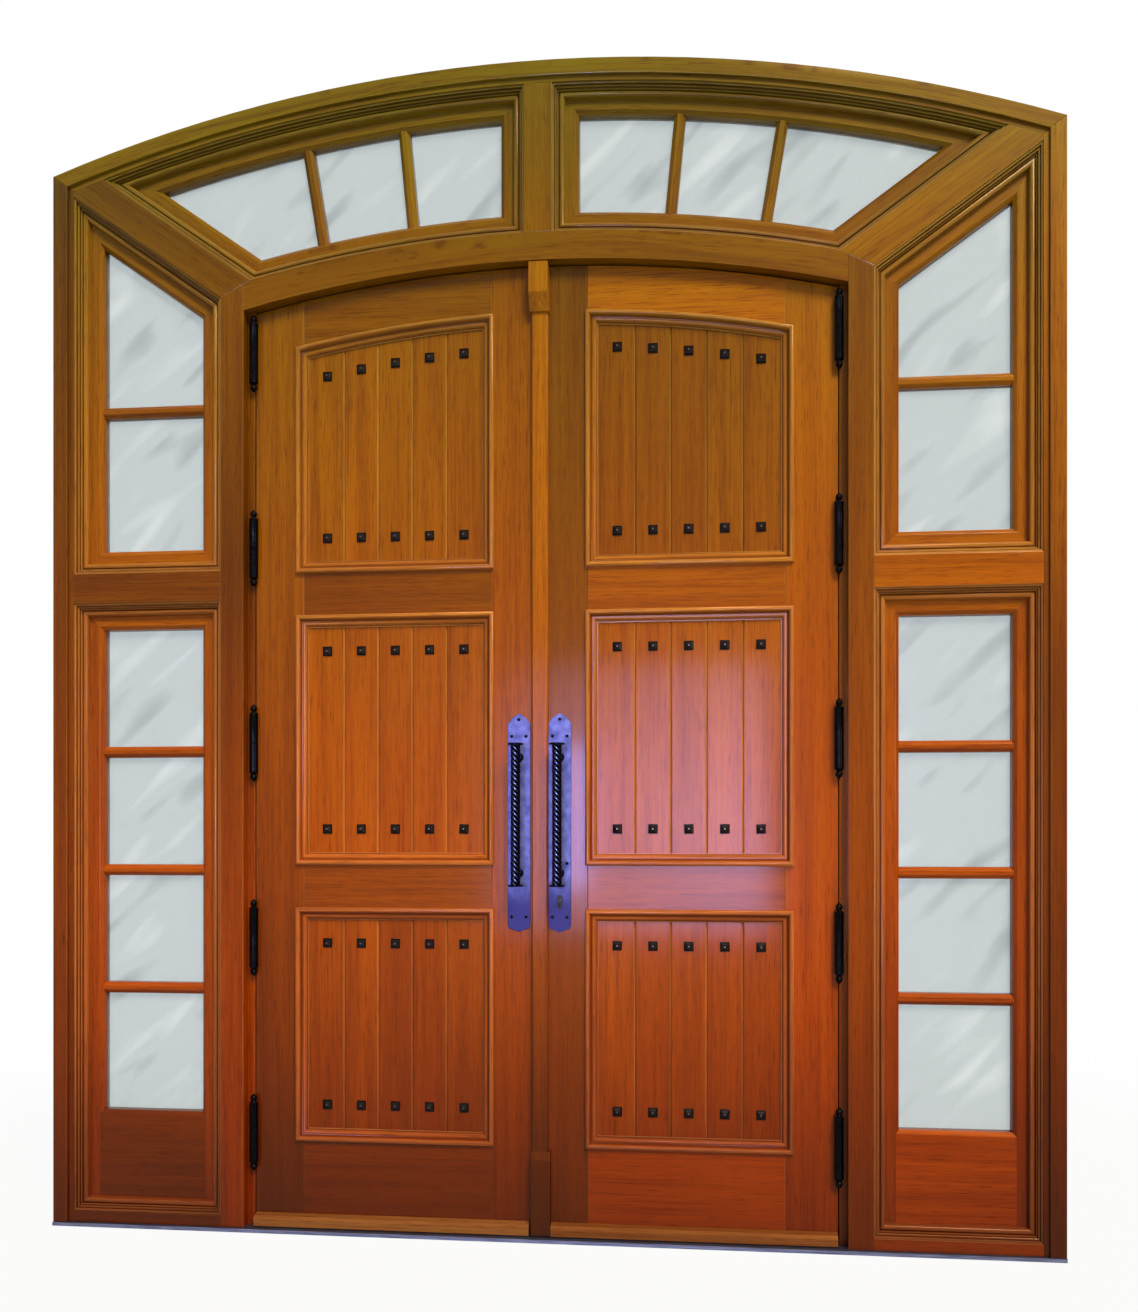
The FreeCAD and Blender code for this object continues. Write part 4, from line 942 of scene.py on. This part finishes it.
# Pulls: six strands twisted left-handed between two flanges, on two round brackets
pull = {"x": 56.5, "depth": -25.0, "low": 965.0, "high": 1353.0, "radius": 13.4, "hollow": 3.2, "strands": 6,
        "perStrand": 8, "hollowShares": (1.0, 0.50, 0.20, 0.05), "lay": 82.0, "sections": 18,
        "crest": 0.94, "narrow": 24,  # where the painted highlight lies on the strands, and how narrow that line is
        "flange": 21.5, "flangeHeight": 6.0, "plateFace": 29.0,
        "bracketAt": 36.0, "bracket": 8.0, "foot": 13.0, "footHeight": 4.0}


def twistRope(low, high):
    # A ring with a hollow between its strands, wound upwards by the screw modifier
    length, perStrand = high - low, pull["perStrand"]
    deselect()
    bpy.ops.mesh.primitive_circle_add(vertices=pull["strands"] * perStrand, radius=pull["radius"] * mm)
    rope = nameActive("rope")
    edit(rope, "VERT")
    around = math.tau / (pull["strands"] * perStrand)
    for step, share in enumerate(pull["hollowShares"]):
        across = (step, (perStrand - step) % perStrand)
        pick(rope, "verts", lambda v: round(math.atan2(v.co.y, v.co.x) / around) % perStrand in across)
        factor = 1 - pull["hollow"] * share / pull["radius"]
        bpy.ops.transform.resize(value=(factor, factor, 1), center_override=(0, 0, 0))
    leave()
    screw = rope.modifiers.new("twist", "SCREW")
    screw.axis = "Z"
    screw.angle = -math.tau * length / pull["lay"]
    screw.screw_offset = length * mm
    screw.steps = round(length / pull["lay"] * pull["sections"])
    screw.render_steps = screw.steps
    only(rope)
    bpy.ops.object.modifier_apply(modifier="twist")
    edit(rope, "EDGE")
    for end in (0, length * mm):
        pick(rope, "edges", lambda e: e.is_boundary and abs(middle(e).z - end) < 1e-6)
        bpy.ops.mesh.edge_face_add()
    faceNormals()
    leave()
    inner = pull["radius"] - pull["hollow"]

    def crestGlint(point):
        # Painted highlight on the crests of the strands, in a narrow line at the front
        reach = math.hypot(point.x, point.y) / mm
        crest = max(0.0, (reach - inner) / pull["hollow"] - pull["crest"]) / (1 - pull["crest"])
        return crest * max(0.0, -point.y / mm / reach) ** pull["narrow"]
    paintGlintWhere(rope, crestGlint)
    only(rope)
    bpy.ops.transform.translate(value=(pull["x"] * mm, behindFace(pull["depth"]) * mm, low * mm))
    settle(rope)
    smooth(rope, 60)
    return rope


def makePull():
    x, y = pull["x"], behindFace(pull["depth"])
    flange, height = pull["flange"], pull["flangeHeight"]
    disc = [(0, 0), (flange - 1.2, 0), (flange, 1.2), (flange, height - 1.8), (flange - 1.4, height - 0.4),
            (flange - 4, height), (0, height)]
    reach, stem, foot = pull["plateFace"] - pull["depth"], pull["bracket"], pull["foot"]
    top = reach - pull["footHeight"]
    bracket = [(0, 0), (stem, 0), (stem, reach - 9), (stem + 0.8, reach - 6), (stem + 2.4, reach - 4.4),
               (foot - 1, top + 0.2), (foot, top + 1.2), (foot, reach), (0, reach)]
    pieces = [twistRope(pull["low"] + height - 0.5, pull["high"] - height + 0.5)]
    for end, up in ((pull["low"], 1), (pull["high"], -1)):
        pieces.append(turned("flange", (x, y, end + up * height), (0, 0, -up), disc, 40))
        pieces.append(turned("bracket", (x, y, end + up * pull["bracketAt"]), (0, 1, 0), bracket, 32))
    return join(pieces, "right_pull_bar_twisted")


rightPull = makePull()
copyOf(rightPull, (-2 * pull["x"], 0, 0))
leftPull = nameActive("left_pull_bar_twisted")
finishPiece(rightPull, "right_leaf", gripIron, ["right_pull_bar"])
finishPiece(leftPull, "left_leaf", gripIron, ["left_pull_bar"])
print("pulls twisted")

# Lift-off hinges: a turned barrel in two knuckles, a finial at each end, and plates in the joint
hinge = {"x": 807.5, "depth": 20.0, "first": 272.0, "pitch": 545.0, "count": 5, "half": 80.0, "washer": 1.0,
         "radius": 12.0, "plateFront": 27.0, "leafFace": 33.0, "plateBack": 78.0, "thick": 2.5,
         "frameAt": 809.0, "leafAt": 803.5}
finial = [(12.6, 0.4), (12.9, 1.6), (12.3, 3.0), (9.4, 4.2), (7.0, 6.0), (6.1, 8.0), (7.4, 9.8), (9.0, 12.6),
          (9.6, 15.6), (9.0, 18.8), (7.2, 22.0), (4.8, 24.4), (2.8, 26.0), (1.6, 27.4), (0, 28)]


def hingePlate(x, z, low, high):
    # A block drawn out to the plate in the joint, with a narrower web in front of the wood
    back, face, web = (behindFace(hinge[key]) for key in ("plateBack", "leafFace", "plateFront"))
    plate = addBlock("plate", (x, face, z - hinge["half"]), (x + hinge["thick"], back, z + hinge["half"]))
    edit(plate)
    selectAll()
    bpy.ops.mesh.bisect(plane_co=(0, 0, z * mm), plane_no=(0, 0, 1))
    bpy.ops.mesh.select_mode(type="FACE")
    pick(plate, "faces", lambda f: f.normal.y < -0.9 and low < f.calc_center_median().z / mm < high)
    extrude(0, (web - face) * mm, 0)
    leave()
    return plate


def makeKnuckle(way, z, upper):
    # The upper knuckle hangs on the leaf and the lower one stands on the frame
    gap, half, radius = hinge["washer"] / 2, hinge["half"], hinge["radius"]
    centre = (way * hinge["x"], behindFace(hinge["depth"]), z)
    body = [(0, gap), (radius - 0.8, gap), (radius, gap + 0.8), (radius, half - 0.4)]
    body += [(r, half + rise) for r, rise in finial] if upper else [(radius - 0.4, half), (0, half)]
    at, up = (hinge["leafAt"], 1) if upper else (hinge["frameAt"], -1)
    plate = hingePlate(at if way > 0 else -at - hinge["thick"], z, *sorted((z, z + up * half)))
    return [turned("knuckle", centre, (0, 0, up), body, 28), plate]


def makePin(way, z):
    # The pin's finial below, and the washer that shows as a bright line between the knuckles
    centre = (way * hinge["x"], behindFace(hinge["depth"]), z)
    tail = [(0, hinge["half"])] + [(r, hinge["half"] + rise) for r, rise in finial]
    collar = [(0, -0.5), (11.2, -0.5), (11.2, 0.5), (0, 0.5)]
    return [turned("tail", centre, (0, 0, -1), tail, 28), turned("washer", centre, (0, 0, 1), collar, 28)]


def hingesOf(way, maker, *upper):
    # One is modelled and the others are copies, a pitch apart
    first = join(maker(way, hinge["first"], *upper), "first")
    return [first] + [copyOf(first, (0, 0, k * hinge["pitch"])) for k in range(1, hinge["count"])]


for leaf, way in leaves:
    made = join(hingesOf(way, makeKnuckle, True), leaf + "_leaf_hinges_turned")
    finishPiece(made, leaf + "_leaf", blackIron, [leaf + "_hinge_plates"])
lower = [piece for leaf, way in leaves for piece in hingesOf(way, makeKnuckle, False)]
finishPiece(join(lower, "frame_hinges_turned"), "frame", blackIron, ["frame_hinge_plates"])
pins = [piece for leaf, way in leaves for piece in hingesOf(way, makePin)]
finishPiece(join(pins, "hinge_pins_turned"), "frame", blackIron, ["hinge_pins"])
print("hinges turned")

# The solids that stay
stays = (
    (glass, ("glass_panes",)), (levelWood, ("glazing_beads",)), (aluminium, ("sill",)),
    (darkSteel, ("lock_case",)), (blackIron, ("left_pull_screws", "right_pull_screws")),
    (steel, ("deadbolt", "strike_plate", "flush_bolt_cases", "top_flush_bolt", "bottom_flush_bolt")))
for material, names in stays:
    for name in names:
        node = nodes[name]
        if not node.data.materials:
            node.data.materials.append(material)
        for slot in node.material_slots:
            slot.material = material
print("solids finished")

# Floor and backdrop, lamps, camera, all in metres
studio = {
    "floor": "#B4B4B2", "white": "#FFFFFF", "nearShare": 0.93, "near": 1.6, "far": 4.2, "air": "#F6F5F2",
    "world": 0.12, "size": 24.0, "wall": 14.0, "sweep": 3.0,
    "sky": {"elevation": 47.0, "turn": 30.0, "power": 4.2, "softness": 22.0, "colour": "#FFF4E0"},
    "key": {"at": (5.0, -3.5, 1.9), "aim": (0.2, 0.0, 1.2), "size": 1.4, "tall": 1.4, "power": 55.0,
            "colour": "#FFF4E4"},
    "window": {"at": (-0.32, -6.6, 1.38), "aim": (-0.39, 0.0, 1.54), "size": 2.3, "tall": 2.18,
               "power": 19.0, "colour": "#B4B8FF", "spread": 30},
    "sash": {"at": (-0.75, -6.6, 1.22), "aim": (0.1, 0.0, 1.2), "size": 0.16, "tall": 1.2, "power": 80.0,
             "colour": "#98A0FF"},
}


def lightPathShare(tree, share):
    # 1 where the camera, a reflection or glass sees the surface, times the share
    rays = addNode(tree, "LightPath")
    seen = rays.outputs["Is Camera Ray"]
    for ray in ("Is Glossy Ray", "Is Transmission Ray"):
        seen = addNode(tree, "Math", {0: seen, 1: rays.outputs[ray]}, operation="MAXIMUM")
    return addNode(tree, "Math", {0: seen, 1: share}, operation="MULTIPLY")


def nearnessShare(tree):
    # The backdrop is white, and the floor near the object keeps some of its shade, so shadows lie on it
    place = addNode(tree, "TexCoord").outputs["Object"]
    away = addNode(tree, "VectorMath", {0: place}, operation="LENGTH").outputs["Value"]
    return addNode(tree, "MapRange", {
        "Value": away, "From Min": studio["near"], "From Max": studio["far"],
        "To Min": studio["nearShare"], "To Max": 1.0}, interpolation_type="SMOOTHSTEP")


def makeStage():
    wall = studio["size"] / 2
    deselect()
    bpy.ops.mesh.primitive_plane_add(size=studio["size"], location=(0, 0, 0))
    floor = bpy.context.active_object
    floor.name = "studioFloor"
    edit(floor, "EDGE")
    pick(floor, "edges", lambda e: middle(e).y > wall / 2)
    extrude(0, 0, studio["wall"])
    pick(floor, "edges", lambda e: abs(middle(e).y - wall) < 0.01 and abs(middle(e).z) < 0.01)
    bpy.ops.mesh.bevel(offset=studio["sweep"], segments=16)
    faceNormals(inside=True)
    leave()
    settle(floor)
    smooth(floor, 60)
    material, tree = newMaterial("paintedStudioFloor")
    paint = addNode(tree, "BsdfPrincipled", {
        "Base Color": toLinear(studio["floor"]), "Roughness": 0.9, "Specular IOR Level": 0.1})
    seen = addNode(tree, "Emission", {"Color": toLinear(studio["white"]), "Strength": 1.0})
    both = addNode(tree, "MixShader", {0: lightPathShare(tree, nearnessShare(tree)), 1: paint, 2: seen})
    addNode(tree, "OutputMaterial", {"Surface": both})
    floor.data.materials.append(material)


def putInScene(name, data):
    made = bpy.data.objects.new(name, data)
    bpy.context.scene.collection.objects.link(made)
    return made


def makeLight(name, kind):
    light = studio[name]
    data = bpy.data.lights.new(name, kind)
    data.energy = light["power"]
    data.color = toLinear(light["colour"])[:3]
    return putInScene(name, data)


def makeLamp(name):
    lamp, made = studio[name], makeLight(name, "AREA")
    made.data.shape = "RECTANGLE"
    made.data.size, made.data.size_y = lamp["size"], lamp["tall"]
    made.data.spread = math.radians(lamp.get("spread", 180))
    made.location = lamp["at"]
    made.rotation_euler = (Vector(lamp["aim"]) - Vector(lamp["at"])).to_track_quat("-Z", "Y").to_euler()
    return made


makeStage()
makeLamp("key")
for name in ("window", "sash"):
    makeLamp(name).visible_diffuse = False  # only their sheen is wanted
sky = makeLight("sky", "SUN")
sky.data.angle = math.radians(studio["sky"]["softness"])
sky.rotation_euler = (math.radians(90 - studio["sky"]["elevation"]), 0, math.radians(studio["sky"]["turn"]))
world = bpy.data.worlds.new("studioAir")
bpy.context.scene.world = world
world.use_nodes = True
tree = world.node_tree
tree.nodes.clear()
air = addNode(tree, "Background", {"Color": toLinear(studio["air"]), "Strength": studio["world"]})
white = addNode(tree, "Background", {"Color": toLinear(studio["white"]), "Strength": 1.0})
both = addNode(tree, "MixShader", {0: lightPathShare(tree, 1.0), 1: air, 2: white})
addNode(tree, "OutputWorld", {"Surface": both})

view = {"at": (0.5208, -3.27, 1.1189), "turn": 6.076, "lens": 32.734, "shiftX": -0.0264, "shiftY": 0.1324}
camera = putInScene("viewer", bpy.data.cameras.new("viewer"))
camera.data.lens = view["lens"]
camera.data.sensor_width = 36.0
camera.data.shift_x = view["shiftX"]
camera.data.shift_y = view["shiftY"]
camera.data.clip_end = 60.0
camera.location = view["at"]
camera.rotation_euler = (math.radians(90), 0, math.radians(view["turn"]))
bpy.context.scene.camera = camera
bpy.context.scene.view_settings.view_transform = "Standard"
print("stage set")
